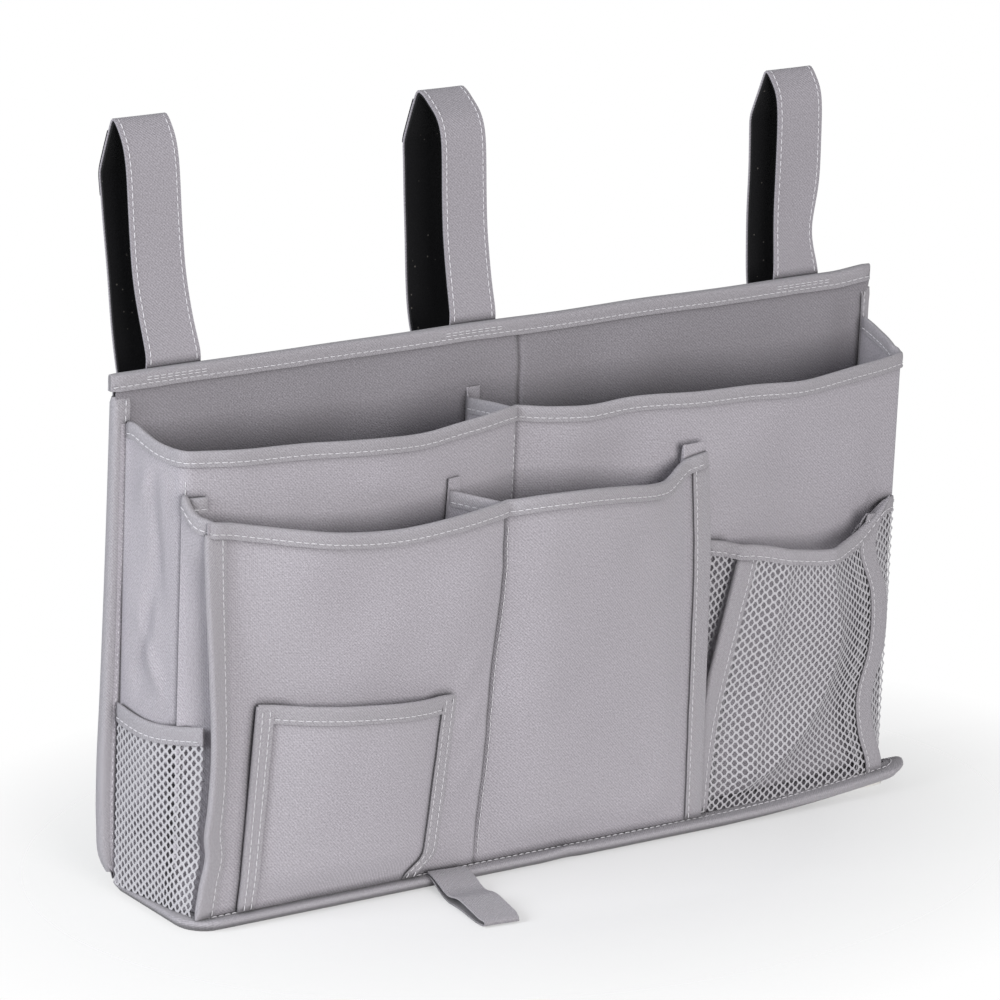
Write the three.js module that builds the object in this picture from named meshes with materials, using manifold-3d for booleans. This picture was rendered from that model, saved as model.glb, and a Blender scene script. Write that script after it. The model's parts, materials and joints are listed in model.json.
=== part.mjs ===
// Bedside caddy: a sewn organiser with two tiers of pockets, net pockets and hanging straps.
// Millimetres, +Z up, front towards -Y. The origin is the middle of the base's underside.
import * as THREE from "three";
import { mergeGeometries, mergeVertices } from "three/addons/utils/BufferGeometryUtils.js";
import Module from "manifold-3d";

const wasm = await Module();
wasm.setup();

// Facets: chords in half a round corner, and the steps along the straps
const CORNER_STEPS = 4;
const FOOT_STEPS = 4;
const RISER_STEPS = 13;
const TAIL_STEPS = 22;

// Stock: cloth, tape, boards and the clearance between sewn layers
const CLOTH = 0.8;
const TAPE = 0.8;
const HEM = 11;
const GAP = 0.3;
const BASE_BOARD = 2;
const BACK_BOARD = 1.8;

// Back panel
const BACK_WIDTH = 500;
const BACK_HEIGHT = 290;
const BACK_SEAM_X = 6;
const BOARD_MARGIN = 2;

// Base
const FRONT_LIP = 9;
const SIDE_LIP = 6.5;
const FRONT_CORNER = 20;
const BACK_CORNER = 6;

// Rear tier
const REAR_DEPTH = 48;
const REAR_DROP = 31;
const REAR_LEFT_WIDTH = 211;
const REAR_LEFT_BULGE = 10;
const REAR_RIGHT_BULGE = 15;
const REAR_SAG = 5;
const DIVIDER_TAB = 11;
const REAR_DIVIDER_DROP = 5;
const REAR_DIVIDER_SKEW = 5;

// Front tier
const FRONT_DEPTH = 21;
const FRONT_DROP = 30;
const FRONT_INSET = 3.5;
const FRONT_WIDTH = 326;
const FRONT_LEFT_WIDTH = 176.5;
const FRONT_LEAN = 17;
const FRONT_BULGE = 7;
const FRONT_SAG = 14;
const FRONT_DIVIDER_DROP = 5;
const FRONT_DIVIDER_FALL = 11;
const FRONT_DIVIDER_SKEW = 11;

// Patch pocket
const PATCH_OFFSET = 25.5;
const PATCH_WIDTH = 127;
const PATCH_HEIGHT = 108;
const PATCH_BULGE = 7.5;
const PATCH_TILT = 10;

// Nets
const NET = 0.8;
const NET_CELL = 15;
const NET_CORD = 2.6;
const NET_MARGIN = 5;
const SIDE_NET_HEIGHT = 104;
const SIDE_NET_TILT = 3;
const SIDE_NET_SAG = 4.5;
const SIDE_NET_BULGE = 4;
const SIDE_NET_STAND_OFF = 4.5;
const MESH_START = 4;
const MESH_INSET = 20;
const MESH_HEIGHT = 164;
const MESH_BULGE = 9;
const MESH_SAG = 13;
const MESH_TILT = 14;
const MESH_LEAN = 12;
const MESH_FOLD_EASE = 2.5;

// Straps
const STRAP = 1.2;
const STRAP_WIDTH = 32;
const STRAP_FOOT = 26;
const STRAP_BEND = 6;
const HOOK_TAPE = 1.4;
const HOOK_TAPE_WIDTH = 28;
const HOOK_TAPE_START = 8;
const PATCH_DROP = 66;
const HOOK_PATCH_HEIGHT = 56;
const CREASE = 1.1;
const TAIL_SWELL = 12;
const TAIL_LANDING = 16;
const PATCH_OVERLAP = 4;
const LEFT_STRAP_INSET = 38;
const RIGHT_STRAP_INSET = 50;
const LEFT_STRAP_X = LEFT_STRAP_INSET - BACK_WIDTH / 2;
const RIGHT_STRAP_X = BACK_WIDTH / 2 - RIGHT_STRAP_INSET;
const LEFT_STRAP = { x: LEFT_STRAP_X, rise: 126, shoulder: 25, lean: 40, tail: 33 };
const MIDDLE_STRAP = { x: -20, rise: 122, shoulder: 15, lean: 40, tail: 42 };
const RIGHT_STRAP = { x: RIGHT_STRAP_X, rise: 117, shoulder: 4.5, lean: 18, tail: 26 };

// Pull tab
const TAB_OFFSET = 1.7;
const TAB_WIDTH = 23;
const TAB_LENGTH = 66;
const TAB_ROOT = 3;
const TAB_SLOPE = 20;
const TAB_SLIT_EASE = 8;
const TAB_TAPE = 1;
const TAB_SLIT = 1;
const TAB_SKEW = THREE.MathUtils.degToRad(-6.5);

// Heights of the base's layers, from the surface that it stands on
const wrap = TAPE + GAP;
const coverZ = wrap;
const baseBoardZ = coverZ + CLOTH + GAP;
const liningZ = baseBoardZ + BASE_BOARD + GAP;
const floorZ = liningZ + CLOTH + GAP;
const lipTop = floorZ + TAPE;
const wallZ = lipTop + GAP;

// Depths of the walls: the back panel's layers stand on the base's rear edge
const backStack = CLOTH + GAP + BACK_BOARD + GAP + CLOTH;
const baseDepth = backStack + REAR_DEPTH + FRONT_DEPTH + FRONT_LIP;
const backY = baseDepth / 2;
const outerY = backY - CLOTH / 2;
const backBoardY = outerY - CLOTH / 2 - GAP - BACK_BOARD / 2;
const backLiningY = backY - backStack + CLOTH / 2;
const backFlangeY = backLiningY - CLOTH - GAP;
const backTapeFront = backFlangeY - CLOTH / 2 - GAP - TAPE;
const rearY = backY - backStack - REAR_DEPTH;
const frontY = rearY - FRONT_DEPTH;
const frontFlangeY = frontY + CLOTH + GAP;
const frontTapeBack = frontFlangeY + CLOTH / 2 + GAP + TAPE;

// Half the slot that a binding needs round one layer of cloth or net
const slot = CLOTH / 2 + GAP;
const netSlot = NET / 2 + GAP;
const secondLayer = CLOTH + GAP;

// Flanges: how far from a bound edge the wall behind it turns away, and where the panel starts to fill
const cornerReach = HEM + TAPE + CLOTH + 2 * slot + GAP;
const seamReach = cornerReach + CLOTH + GAP;
const meshReach = cornerReach + MESH_FOLD_EASE;
const meshSeamReach = meshReach + 2 * (CLOTH + GAP);

// Widths of the walls
const gussetX = BACK_WIDTH / 2 - wrap - HEM - slot;
const baseWidth = 2 * (gussetX + SIDE_LIP);
const rearSeamX = -gussetX + REAR_LEFT_WIDTH;
const frontLeft = -gussetX + FRONT_INSET;
const frontRight = frontLeft + FRONT_WIDTH;
const frontSeamX = frontLeft + FRONT_LEFT_WIDTH;
const patchLeft = frontLeft + PATCH_OFFSET;
const patchRight = patchLeft + PATCH_WIDTH;
const meshLeft = frontRight + MESH_START;
const meshRight = gussetX - MESH_INSET;

// Heights of the mouths, at the cloth's edge under the binding
const backTop = BACK_HEIGHT - wrap;
const rearTop = BACK_HEIGHT - REAR_DROP;
const frontTop = rearTop - FRONT_DROP;
const meshTop = wallZ + MESH_HEIGHT;
const sideNetTop = wallZ + SIDE_NET_HEIGHT;
const patchTop = wallZ + PATCH_HEIGHT;

const UP = new THREE.Vector3(0, 0, 1);

const caddy = new THREE.Group();
caddy.name = "bedside_caddy";

const clothColour = 0xa9a5ac;
const bindingColour = 0x9a989d;
const netColour = 0xd2d1d4;
const boardColour = 0xe6e4de;
const hookColour = 0x141416;

function add(name, geometry, color, roughness = 0.9) {
  const material = new THREE.MeshStandardMaterial({ color, roughness, metalness: 0 });
  const mesh = new THREE.Mesh(geometry, material);
  mesh.name = name;
  caddy.add(mesh);
  return mesh;
}

function steps(count) {
  return Array.from({ length: count + 1 }, (_, i) => i / count);
}

// Shares of a wall's height, with the last row but one where the binding on its top ends
function hemmedRows(count, height) {
  return [...steps(count - 1).map((s) => s * (1 - HEM / height)), 1];
}

// How far a slack panel stands out between two seams, from 0 at each seam to 1 halfway
function crown(share) {
  const s = THREE.MathUtils.clamp(share, 0, 1);
  return 1 - Math.abs(2 * s - 1) ** 2.5;
}

// How far a panel that is full from its foot up has filled out at a share of its height
function fill(share) {
  return Math.sin((share * Math.PI) / 2);
}

function planNormal(from, to) {
  const along = new THREE.Vector3(to.x - from.x, to.y - from.y, 0).normalize();
  return new THREE.Vector3(along.y, -along.x, 0);
}

// Level normals along a line of points, lengthened at its corners so that offsets keep their distance
function mitres(line) {
  return line.map((point, i) => {
    const before = line[i - 1];
    const after = line[i + 1];
    if (!before) return planNormal(point, after);
    if (!after) return planNormal(before, point);
    const first = planNormal(before, point);
    const second = planNormal(point, after);
    return first.clone().add(second).divideScalar(1 + first.dot(second));
  });
}

function signedVolume(points, triangles) {
  let volume = 0;
  for (let i = 0; i < triangles.length; i += 3) {
    const [a, b, c] = [0, 1, 2].map((k) => points[triangles[i + k]]);
    volume += a.dot(new THREE.Vector3().crossVectors(b, c)) / 6;
  }
  return volume;
}

// A closed solid between two grids of points, the two faces of a sheet
function thickSheet(front, back) {
  const columns = front.length;
  const rows = front[0].length;
  const points = [...front.flat(), ...back.flat()];
  const triangles = [];
  const at = (side, i, j) => side * columns * rows + i * rows + j;
  const quad = (a, b, c, d) => triangles.push(a, b, c, a, c, d);
  const spans = columns - 1;
  for (let i = 0; i < spans; i++) {
    for (let j = 0; j < rows - 1; j++) {
      quad(at(0, i, j), at(0, i + 1, j), at(0, i + 1, j + 1), at(0, i, j + 1));
      quad(at(1, i, j), at(1, i, j + 1), at(1, i + 1, j + 1), at(1, i + 1, j));
    }
    quad(at(1, i, 0), at(1, i + 1, 0), at(0, i + 1, 0), at(0, i, 0));
    quad(at(0, i, rows - 1), at(0, i + 1, rows - 1), at(1, i + 1, rows - 1), at(1, i, rows - 1));
  }
  for (let j = 0; j < rows - 1; j++) {
    quad(at(0, 0, j), at(0, 0, j + 1), at(1, 0, j + 1), at(1, 0, j));
    quad(at(1, spans, j), at(1, spans, j + 1), at(0, spans, j + 1), at(0, spans, j));
  }
  if (signedVolume(points, triangles) < 0) triangles.reverse();
  return new THREE.BufferGeometry().setFromPoints(points).setIndex(triangles);
}

// A wall of cloth: point(u, v) gives its middle surface, u along it and v from its foot to its top
function wall(us, vs, point, thickness = CLOTH) {
  const front = us.map(() => []);
  const back = us.map(() => []);
  for (const v of vs) {
    const line = us.map((u) => point(u, v));
    const normals = mitres(line);
    line.forEach((middle, i) => {
      front[i].push(middle.clone().addScaledVector(normals[i], thickness / 2));
      back[i].push(middle.clone().addScaledVector(normals[i], -thickness / 2));
    });
  }
  return thickSheet(front, back);
}

// A tape folded over an edge. Each place on the rail has the edge, the way into the cloth and its face.
function binding(rail, front = slot, back = slot) {
  const section = (place, cover, reach) => {
    const leg = place.edge.clone().addScaledVector(place.inward, HEM);
    const fold = place.edge.clone().addScaledVector(place.inward, -reach);
    return [
      leg.clone().addScaledVector(place.face, front + cover),
      fold.clone().addScaledVector(place.face, front + cover),
      fold.clone().addScaledVector(place.face, -back - cover),
      leg.clone().addScaledVector(place.face, -back - cover),
    ];
  };
  const outside = rail.map((place) => section(place, TAPE, wrap));
  const inside = rail.map((place) => section(place, 0, GAP));
  return thickSheet(outside, inside);
}

// The rail along the top of a wall
function topRail(us, point) {
  const line = us.map((u) => point(u, 1));
  const faces = mitres(line);
  return us.map((u, i) => {
    const height = line[i].distanceTo(point(u, 0));
    const inward = point(u, 1 - HEM / height).sub(line[i]).normalize();
    return { edge: line[i], inward, face: faces[i] };
  });
}

// A straight rail at one end of a wall, upright or leaning sideways by a distance towards its top
function uprightRail(x, y, bottom, top, inward, lean = 0) {
  return [0, 1].map((v) => ({
    edge: new THREE.Vector3(x + lean * v, y, THREE.MathUtils.lerp(bottom, top, v)),
    inward: new THREE.Vector3(inward, 0, 0),
    face: new THREE.Vector3(0, -1, 0),
  }));
}

// A point on an upright strip folded along a list of plan corners, with its top at a height for each
function foldedStrip(corners, bottom, topAt) {
  return (corner, v) => {
    const z = THREE.MathUtils.lerp(bottom, topAt(corner), v);
    const [x, y] = corners(z)[corner];
    return new THREE.Vector3(x, y, z);
  };
}

// A flat plate standing across the caddy
function uprightPlate(left, right, bottom, top, y, thickness) {
  const plate = new THREE.BoxGeometry(right - left, thickness, top - bottom);
  return plate.translate((left + right) / 2, y, (bottom + top) / 2);
}

// The base's outline drawn in by an inset, from its rear left corner round the front
function baseOutline(inset) {
  const x = baseWidth / 2 - inset;
  const y = baseDepth / 2 - inset;
  const front = FRONT_CORNER - inset;
  const back = Math.max(BACK_CORNER - inset, 0.5);
  const outline = new THREE.Shape();
  outline.absarc(-x + back, y - back, back, Math.PI / 2, Math.PI, false);
  outline.absarc(-x + front, -y + front, front, Math.PI, 1.5 * Math.PI, false);
  outline.absarc(x - front, -y + front, front, 1.5 * Math.PI, 2 * Math.PI, false);
  outline.absarc(x - back, y - back, back, 0, Math.PI / 2, false);
  return outline;
}

function slab(outline, bottom, thickness) {
  const settings = { depth: thickness, bevelEnabled: false, curveSegments: CORNER_STEPS };
  return new THREE.ExtrudeGeometry(outline, settings).translate(0, 0, bottom);
}

function toSolid(geometry) {
  const bare = geometry.clone();
  bare.deleteAttribute("normal");
  bare.deleteAttribute("uv");
  const merged = mergeVertices(bare, 1e-4);
  const vertProperties = merged.attributes.position.array;
  const triVerts = new Uint32Array(merged.index.array);
  return new wasm.Manifold(new wasm.Mesh({ numProp: 3, vertProperties, triVerts }));
}

function toGeometry(solid) {
  const mesh = solid.getMesh();
  const geometry = new THREE.BufferGeometry();
  geometry.setAttribute("position", new THREE.BufferAttribute(mesh.vertProperties, 3));
  return geometry.setIndex(new THREE.BufferAttribute(mesh.triVerts, 1));
}

// A net: a wall with staggered rows of diamond gaps, clear of its sewn edges
function net(us, vs, point, margin) {
  const sheet = toSolid(wall(us, vs, point, NET));
  const reach = (NET_CELL - NET_CORD * Math.SQRT2) / 2;
  const diamond = new THREE.Shape();
  diamond.moveTo(reach, 0).lineTo(0, reach).lineTo(-reach, 0).lineTo(0, -reach).closePath();
  const first = us[0];
  const last = us.at(-1);
  const width = point(first, 0).distanceTo(point(last, 0));
  const height = point(first, 1).z - point(first, 0).z;
  const columns = Math.floor((2 * (width - 2 * margin)) / NET_CELL) - 1;
  const rows = Math.floor((2 * (height - HEM - 2 * margin)) / NET_CELL) - 1;
  const sideways = (width - ((columns - 1) * NET_CELL) / 2) / 2;
  const cutters = [];
  for (let column = 0; column < columns; column++) {
    const u = first + ((last - first) * (sideways + (column * NET_CELL) / 2)) / width;
    for (let row = column % 2; row < rows; row += 2) {
      const v = (margin + reach + (row * NET_CELL) / 2) / height;
      const middle = point(u, v);
      const along = point(u + (last - first) * 0.01, v).sub(middle).setZ(0).normalize();
      const face = new THREE.Vector3().crossVectors(along, UP);
      const place = new THREE.Matrix4().makeBasis(along, UP, face).setPosition(middle);
      const cutter = new THREE.ExtrudeGeometry(diamond, { depth: 8 * NET, bevelEnabled: false });
      cutters.push(cutter.translate(0, 0, -4 * NET).applyMatrix4(place));
    }
  }
  return toGeometry(sheet.subtract(toSolid(mergeGeometries(cutters))));
}

// The rear tier's front panel: x is a place across it, v a share of its height
function rearBay(x) {
  const left = x < rearSeamX;
  const from = left ? -gussetX : rearSeamX;
  const to = left ? rearSeamX : gussetX;
  const bulge = left ? REAR_LEFT_BULGE : REAR_RIGHT_BULGE;
  return { bulge, share: (x - from) / (to - from) };
}

function rearPanelAt(x, v) {
  const { bulge, share } = rearBay(x);
  const top = rearTop - REAR_SAG * crown(share);
  const y = rearY - bulge * crown(share) * v ** 2;
  return new THREE.Vector3(x, y, THREE.MathUtils.lerp(wallZ, top, v));
}

// Where a tab lies against the rear tier's front panel, at a place across it and a height
function onRearPanel(x, z) {
  const { share } = rearBay(x);
  const v = (z - wallZ) / (rearTop - REAR_SAG * crown(share) - wallZ);
  return rearPanelAt(x, v).y - CLOTH - 2 * GAP;
}

const rearColumns = [
  ...steps(9).map((s) => THREE.MathUtils.lerp(-gussetX, rearSeamX, s)),
  ...steps(11).map((s) => THREE.MathUtils.lerp(rearSeamX, gussetX, s)).slice(1),
];

// The front tier's front panel: flat at its two flanges, leaning out most at the seam
const frontFrom = frontLeft + seamReach;
const frontTo = frontRight - seamReach;

function frontStandOut(x, v) {
  const left = x < frontSeamX;
  const share = left ? (x - frontFrom) / (frontSeamX - frontFrom) : (frontTo - x) / (frontTo - frontSeamX);
  const reach = THREE.MathUtils.clamp(share, 0, 1);
  const lean = FRONT_LEAN * THREE.MathUtils.smoothstep(reach, 0, 1);
  return lean * v + FRONT_BULGE * crown(reach) * fill(v);
}

function frontTopAt(x) {
  return frontTop - FRONT_SAG * crown((x - frontFrom) / (frontTo - frontFrom));
}

function frontPanelAt(x, v) {
  const z = THREE.MathUtils.lerp(wallZ, frontTopAt(x), v);
  return new THREE.Vector3(x, frontY - frontStandOut(x, v), z);
}

// The place in front of the front panel at a height, a number of millimetres clear of its middle
function beforeFrontPanel(x, z, clear) {
  const v = (z - wallZ) / (frontTopAt(x) - wallZ);
  return new THREE.Vector3(x, frontY - frontStandOut(x, v) - clear, z);
}

const frontBays = [
  ...steps(9).map((s) => THREE.MathUtils.lerp(frontFrom, frontSeamX, s)),
  ...steps(8).map((s) => THREE.MathUtils.lerp(frontSeamX, frontTo, s)).slice(1),
];

function base() {
  add("base_cover", baseCover(), clothColour);
  const boardInset = wrap + HEM + GAP;
  add("base_board", slab(baseOutline(boardInset), baseBoardZ, BASE_BOARD), boardColour, 0.6);
  add("base_lining", slab(baseOutline(wrap), liningZ, CLOTH), clothColour);
  add("base_binding", baseBinding(), bindingColour);
}

// The tape folded round the base's edge: hollow where it grips the layers, and open in the middle
function baseBinding() {
  const tape = slab(baseOutline(0), 0, lipTop);
  const layers = slab(baseOutline(TAPE), TAPE, floorZ - TAPE);
  const middle = slab(baseOutline(wrap + HEM), -GAP, lipTop + 2 * GAP);
  return toGeometry(toSolid(tape).subtract(toSolid(layers)).subtract(toSolid(middle)));
}

// The cover's middle sags onto the table, level with the binding's lower leg
function baseCover() {
  const edge = slab(baseOutline(wrap), coverZ, CLOTH);
  const middle = slab(baseOutline(wrap + HEM + GAP), 0, coverZ + CLOTH);
  return toGeometry(toSolid(edge).add(toSolid(middle)));
}

function backPanel() {
  const edge = BACK_WIDTH / 2 - wrap;
  add("back_outer", uprightPlate(-edge, edge, wallZ, backTop, outerY, CLOTH), clothColour);
  add("back_lining", uprightPlate(-edge, edge, wallZ, backTop, backLiningY, CLOTH), clothColour);
  const boardTop = backTop - HEM - BOARD_MARGIN;
  const boardBottom = wallZ + BOARD_MARGIN;
  const boardEdge = gussetX - BOARD_MARGIN;
  const leftEnd = BACK_SEAM_X - BOARD_MARGIN;
  const rightStart = BACK_SEAM_X + BOARD_MARGIN;
  const leftBoard = uprightPlate(-boardEdge, leftEnd, boardBottom, boardTop, backBoardY, BACK_BOARD);
  const rightBoard = uprightPlate(rightStart, boardEdge, boardBottom, boardTop, backBoardY, BACK_BOARD);
  add("back_board_left", leftBoard, boardColour, 0.6);
  add("back_board_right", rightBoard, boardColour, 0.6);
  const half = backStack / 2 + GAP;
  const middleY = backY - backStack / 2;
  const topPlaces = [-BACK_WIDTH / 2, BACK_WIDTH / 2].map((x) => ({
    edge: new THREE.Vector3(x, middleY, backTop),
    inward: UP.clone().negate(),
    face: new THREE.Vector3(0, -1, 0),
  }));
  add("back_top_binding", binding(topPlaces, half, half), bindingColour);
  const sideTop = backTop - HEM - GAP;
  for (const [name, side] of [["left", -1], ["right", 1]]) {
    const rail = uprightRail(side * edge, middleY, wallZ, sideTop, -side);
    add(`back_${name}_binding`, binding(rail, half + secondLayer, half), bindingColour);
  }
}

function rearTier() {
  add("rear_pocket_panel", wall(rearColumns, hemmedRows(8, rearTop - wallZ), rearPanelAt), clothColour);
  const gussetFront = rearY + slot;
  for (const [name, side] of [["left", -1], ["right", 1]]) {
    const flangeEnd = side * (BACK_WIDTH / 2 - wrap - GAP);
    const corners = () => [
      [flangeEnd, backFlangeY],
      [side * gussetX, backFlangeY],
      [side * gussetX, gussetFront],
    ];
    const gusset = foldedStrip(corners, wallZ, () => rearTop);
    add(`rear_${name}_gusset`, wall([0, 1, 2], [0, 1], gusset), clothColour);
  }
  const mouthBack = backTapeFront - GAP;
  const mouth = [-1, ...rearColumns.keys(), rearColumns.length];
  const mouthAt = (i, v) => {
    const column = THREE.MathUtils.clamp(i, 0, rearColumns.length - 1);
    const place = rearPanelAt(rearColumns[column], v);
    return column === i ? place : place.setY(mouthBack);
  };
  add("rear_mouth_binding", binding(topRail(mouth, mouthAt)), bindingColour);
  const dividerTop = rearTop - REAR_DIVIDER_DROP;
  const foldX = rearSeamX + REAR_DIVIDER_SKEW;
  const dividerFront = rearY + slot + TAPE + GAP;
  const dividerCorners = () => [
    [foldX + DIVIDER_TAB, backFlangeY],
    [foldX, backFlangeY],
    [rearSeamX, dividerFront],
  ];
  const divider = foldedStrip(dividerCorners, wallZ, () => dividerTop);
  add("rear_divider", wall([0, 1, 2], [0, 1], divider), clothColour);
  add("rear_divider_binding", dividerBinding(divider), bindingColour);
}

// The tape on a divider's mouth, clear of its tab and of the panel at its front end
function dividerBinding(divider) {
  const clearOfTab = slot + wrap;
  const edge = (fromTip, v) => {
    const foot = divider(1, v);
    const tip = divider(2, v);
    const length = foot.distanceTo(tip);
    return foot.lerp(tip, fromTip ? 1 - TAPE / length : clearOfTab / length);
  };
  return binding(topRail([0, 1], edge));
}

// A gusset of the front row: sewn to the rear tier, then out to a flange behind the front panel's edge
function frontGusset(corners, top) {
  return foldedStrip(corners, wallZ, () => top);
}

// The tape on a front gusset's mouth, clear of the rear tier and of the flange's own tape.
// A gusset that twists needs a wider slot, by the ease.
function gussetBinding(strip, ease = 0) {
  const rearEnd = strip(0, 1).y;
  const frontEnd = strip(1, 1).y;
  const half = slot + ease;
  const clear = GAP + half + TAPE;
  const start = clear / (rearEnd - frontEnd);
  const stop = (rearEnd - frontTapeBack - clear) / (rearEnd - frontEnd);
  const edge = (share, v) => strip(0, v).lerp(strip(1, v), share);
  return binding(topRail([start, stop], edge), half, half);
}

function frontTier() {
  const columns = [frontLeft, ...frontBays, frontRight];
  add("front_pocket_panel", wall(columns, hemmedRows(8, frontTop - wallZ), frontPanelAt), clothColour);
  const leftCorners = () => [
    [-gussetX + GAP, rearY - slot - GAP],
    [frontLeft + cornerReach, frontFlangeY],
    [frontLeft + GAP, frontFlangeY],
  ];
  const left = frontGusset(leftCorners, frontTop);
  add("front_left_gusset", wall([0, 1, 2], steps(2), left), clothColour);
  add("front_left_gusset_binding", gussetBinding(left), bindingColour);
  const tabX = frontRight - cornerReach;
  const rightCorners = (z) => [
    [tabX - DIVIDER_TAB, onRearPanel(tabX - DIVIDER_TAB, z)],
    [tabX, onRearPanel(tabX, z)],
    [tabX, frontFlangeY],
    [frontRight - GAP, frontFlangeY],
  ];
  const right = frontGusset(rightCorners, frontTop);
  add("front_right_gusset", wall([0, 1, 2, 3], steps(6), right), clothColour);
  const dividerX = frontSeamX - FRONT_DIVIDER_SKEW;
  const dividerTop = frontTop - FRONT_DIVIDER_DROP;
  const innerFace = -slot - wrap;
  const dividerCorners = (z) => [
    [dividerX + DIVIDER_TAB, onRearPanel(dividerX + DIVIDER_TAB, z)],
    [dividerX, onRearPanel(dividerX, z)],
    [frontSeamX, beforeFrontPanel(frontSeamX, z, innerFace).y],
  ];
  const dividerTopAt = (corner) => (corner === 2 ? dividerTop - FRONT_DIVIDER_FALL : dividerTop);
  const divider = foldedStrip(dividerCorners, wallZ, dividerTopAt);
  add("front_divider", wall([0, 1, 2], steps(6), divider), clothColour);
  add("front_divider_binding", dividerBinding(divider), bindingColour);
  const mouth = frontBays.filter((x) => x > frontFrom && x < frontTo);
  const mouthColumns = [frontFrom + GAP, ...mouth, frontTo - GAP];
  add("front_mouth_binding", binding(topRail(mouthColumns, frontPanelAt)), bindingColour);
  for (const [name, x, inward] of [["left", frontLeft, 1], ["right", frontRight, -1]]) {
    const rail = uprightRail(x, frontY, wallZ, frontTop, inward);
    add(`front_${name}_flange_binding`, binding(rail, slot, slot + secondLayer), bindingColour);
  }
}

function patchPocket() {
  const lift = 2 * slot + TAPE;
  const panelAt = (u, v) => {
    const x = THREE.MathUtils.lerp(patchLeft, patchRight, u);
    const z = THREE.MathUtils.lerp(wallZ, patchTop + PATCH_TILT * (0.5 - u), v);
    const inner = THREE.MathUtils.clamp((u * PATCH_WIDTH - HEM) / (PATCH_WIDTH - 2 * HEM), 0, 1);
    return beforeFrontPanel(x, z, lift + PATCH_BULGE * crown(inner) * fill(v));
  };
  const hem = HEM / PATCH_WIDTH;
  const columns = [0, hem, ...steps(6).slice(1, -1).map((s) => hem + s * (1 - 2 * hem)), 1 - hem, 1];
  add("patch_pocket_panel", wall(columns, hemmedRows(5, PATCH_HEIGHT), panelAt), clothColour);
  const clear = (HEM + GAP) / PATCH_WIDTH;
  const mouth = [clear, ...columns.slice(2, -2), 1 - clear];
  add("patch_pocket_mouth_binding", binding(topRail(mouth, panelAt)), bindingColour);
  for (const [name, u, inward] of [["left", 0, 1], ["right", 1, -1]]) {
    const rail = hemmedRows(5, PATCH_HEIGHT).map((v) => ({
      edge: panelAt(u, v),
      inward: panelAt(u + inward * hem, v).sub(panelAt(u, v)).normalize(),
      face: planNormal(panelAt(Math.min(u, 1 - hem), v), panelAt(Math.max(u, hem), v)),
    }));
    add(`patch_pocket_${name}_tape`, binding(rail), bindingColour);
  }
}

function sideNetPocket() {
  const start = new THREE.Vector2(-gussetX - SIDE_NET_STAND_OFF, backTapeFront - wrap);
  const end = new THREE.Vector2(frontLeft - GAP, frontTapeBack + wrap);
  const netAt = (u, v) => {
    const place = start.clone().lerp(end, u);
    const bow = SIDE_NET_BULGE * crown(u) * fill(v);
    const bend = (1 - u) * u * 2 * SIDE_NET_STAND_OFF;
    const top = sideNetTop + SIDE_NET_TILT * (u - 0.5) - SIDE_NET_SAG * crown(u);
    return new THREE.Vector3(place.x - bow - bend, place.y, THREE.MathUtils.lerp(wallZ, top, v));
  };
  add("side_net", net(steps(6), steps(2), netAt, NET_MARGIN), netColour);
  add("side_net_binding", binding(topRail(steps(6), netAt), netSlot, netSlot), bindingColour);
}

function meshPocket() {
  const from = meshLeft + meshSeamReach;
  const to = meshRight - meshSeamReach;
  const meshAt = (x, v) => {
    const share = THREE.MathUtils.clamp((x - from) / (to - from), 0, 1);
    const top = meshTop + MESH_TILT * (share - 0.5) - MESH_SAG * crown(share);
    const z = THREE.MathUtils.lerp(wallZ, top, v);
    const lean = MESH_LEAN * v * (1 - share);
    return new THREE.Vector3(x + lean, frontY - MESH_BULGE * crown(share) * fill(v), z);
  };
  const bays = steps(8).map((s) => THREE.MathUtils.lerp(from, to, s));
  add("mesh_front_net", net([meshLeft, ...bays, meshRight], steps(4), meshAt, meshSeamReach), netColour);
  const leftTop = meshTop - MESH_TILT / 2;
  const rightTop = meshTop + MESH_TILT / 2;
  const leftCorners = (z) => {
    const lean = (MESH_LEAN * (z - wallZ)) / (leftTop - wallZ);
    return [
      [meshLeft, onRearPanel(meshLeft, z)],
      [meshLeft + meshReach + lean, frontFlangeY],
      [meshLeft + GAP + lean, frontFlangeY],
    ];
  };
  const rightCorners = () => [
    [gussetX - GAP, rearY - slot - GAP],
    [meshRight - meshReach, frontFlangeY],
    [meshRight - GAP, frontFlangeY],
  ];
  for (const [name, corners, x, inward, top, lean] of [
    ["left", leftCorners, meshLeft, 1, leftTop, MESH_LEAN],
    ["right", rightCorners, meshRight, -1, rightTop, 0],
  ]) {
    const strip = frontGusset(corners, top);
    const rows = hemmedRows(5, top - wallZ);
    add(`mesh_${name}_gusset`, wall([0, 1, 2], rows, strip, NET), netColour);
    add(`mesh_${name}_gusset_binding`, gussetBinding(strip, GAP), bindingColour);
    const rail = uprightRail(x, frontY, wallZ, top, inward, lean);
    add(`mesh_${name}_flange_binding`, binding(rail, slot, slot + secondLayer), bindingColour);
  }
  const mouth = [from + GAP, ...bays.slice(1, -1), to - GAP];
  add("mesh_mouth_elastic", binding(topRail(mouth, meshAt), netSlot, netSlot), bindingColour);
}

// A band of even thickness along a side-view line of [y, z] points, as wide as it is across the caddy
function band(line, inside, outside, width, x) {
  const normals = line.map((point, i) => {
    const before = line[Math.max(i - 1, 0)];
    const after = line[Math.min(i + 1, line.length - 1)];
    const along = after.clone().sub(before).normalize();
    return new THREE.Vector2(-along.y, along.x);
  });
  const face = (offset, side) =>
    line.map((point, i) => {
      const moved = point.clone().addScaledVector(normals[i], offset);
      return new THREE.Vector3(x + (side * width) / 2, moved.x, moved.y);
    });
  const grid = (offset) => [face(offset, -1), face(offset, 1)];
  return thickSheet(grid(inside), grid(outside));
}

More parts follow.
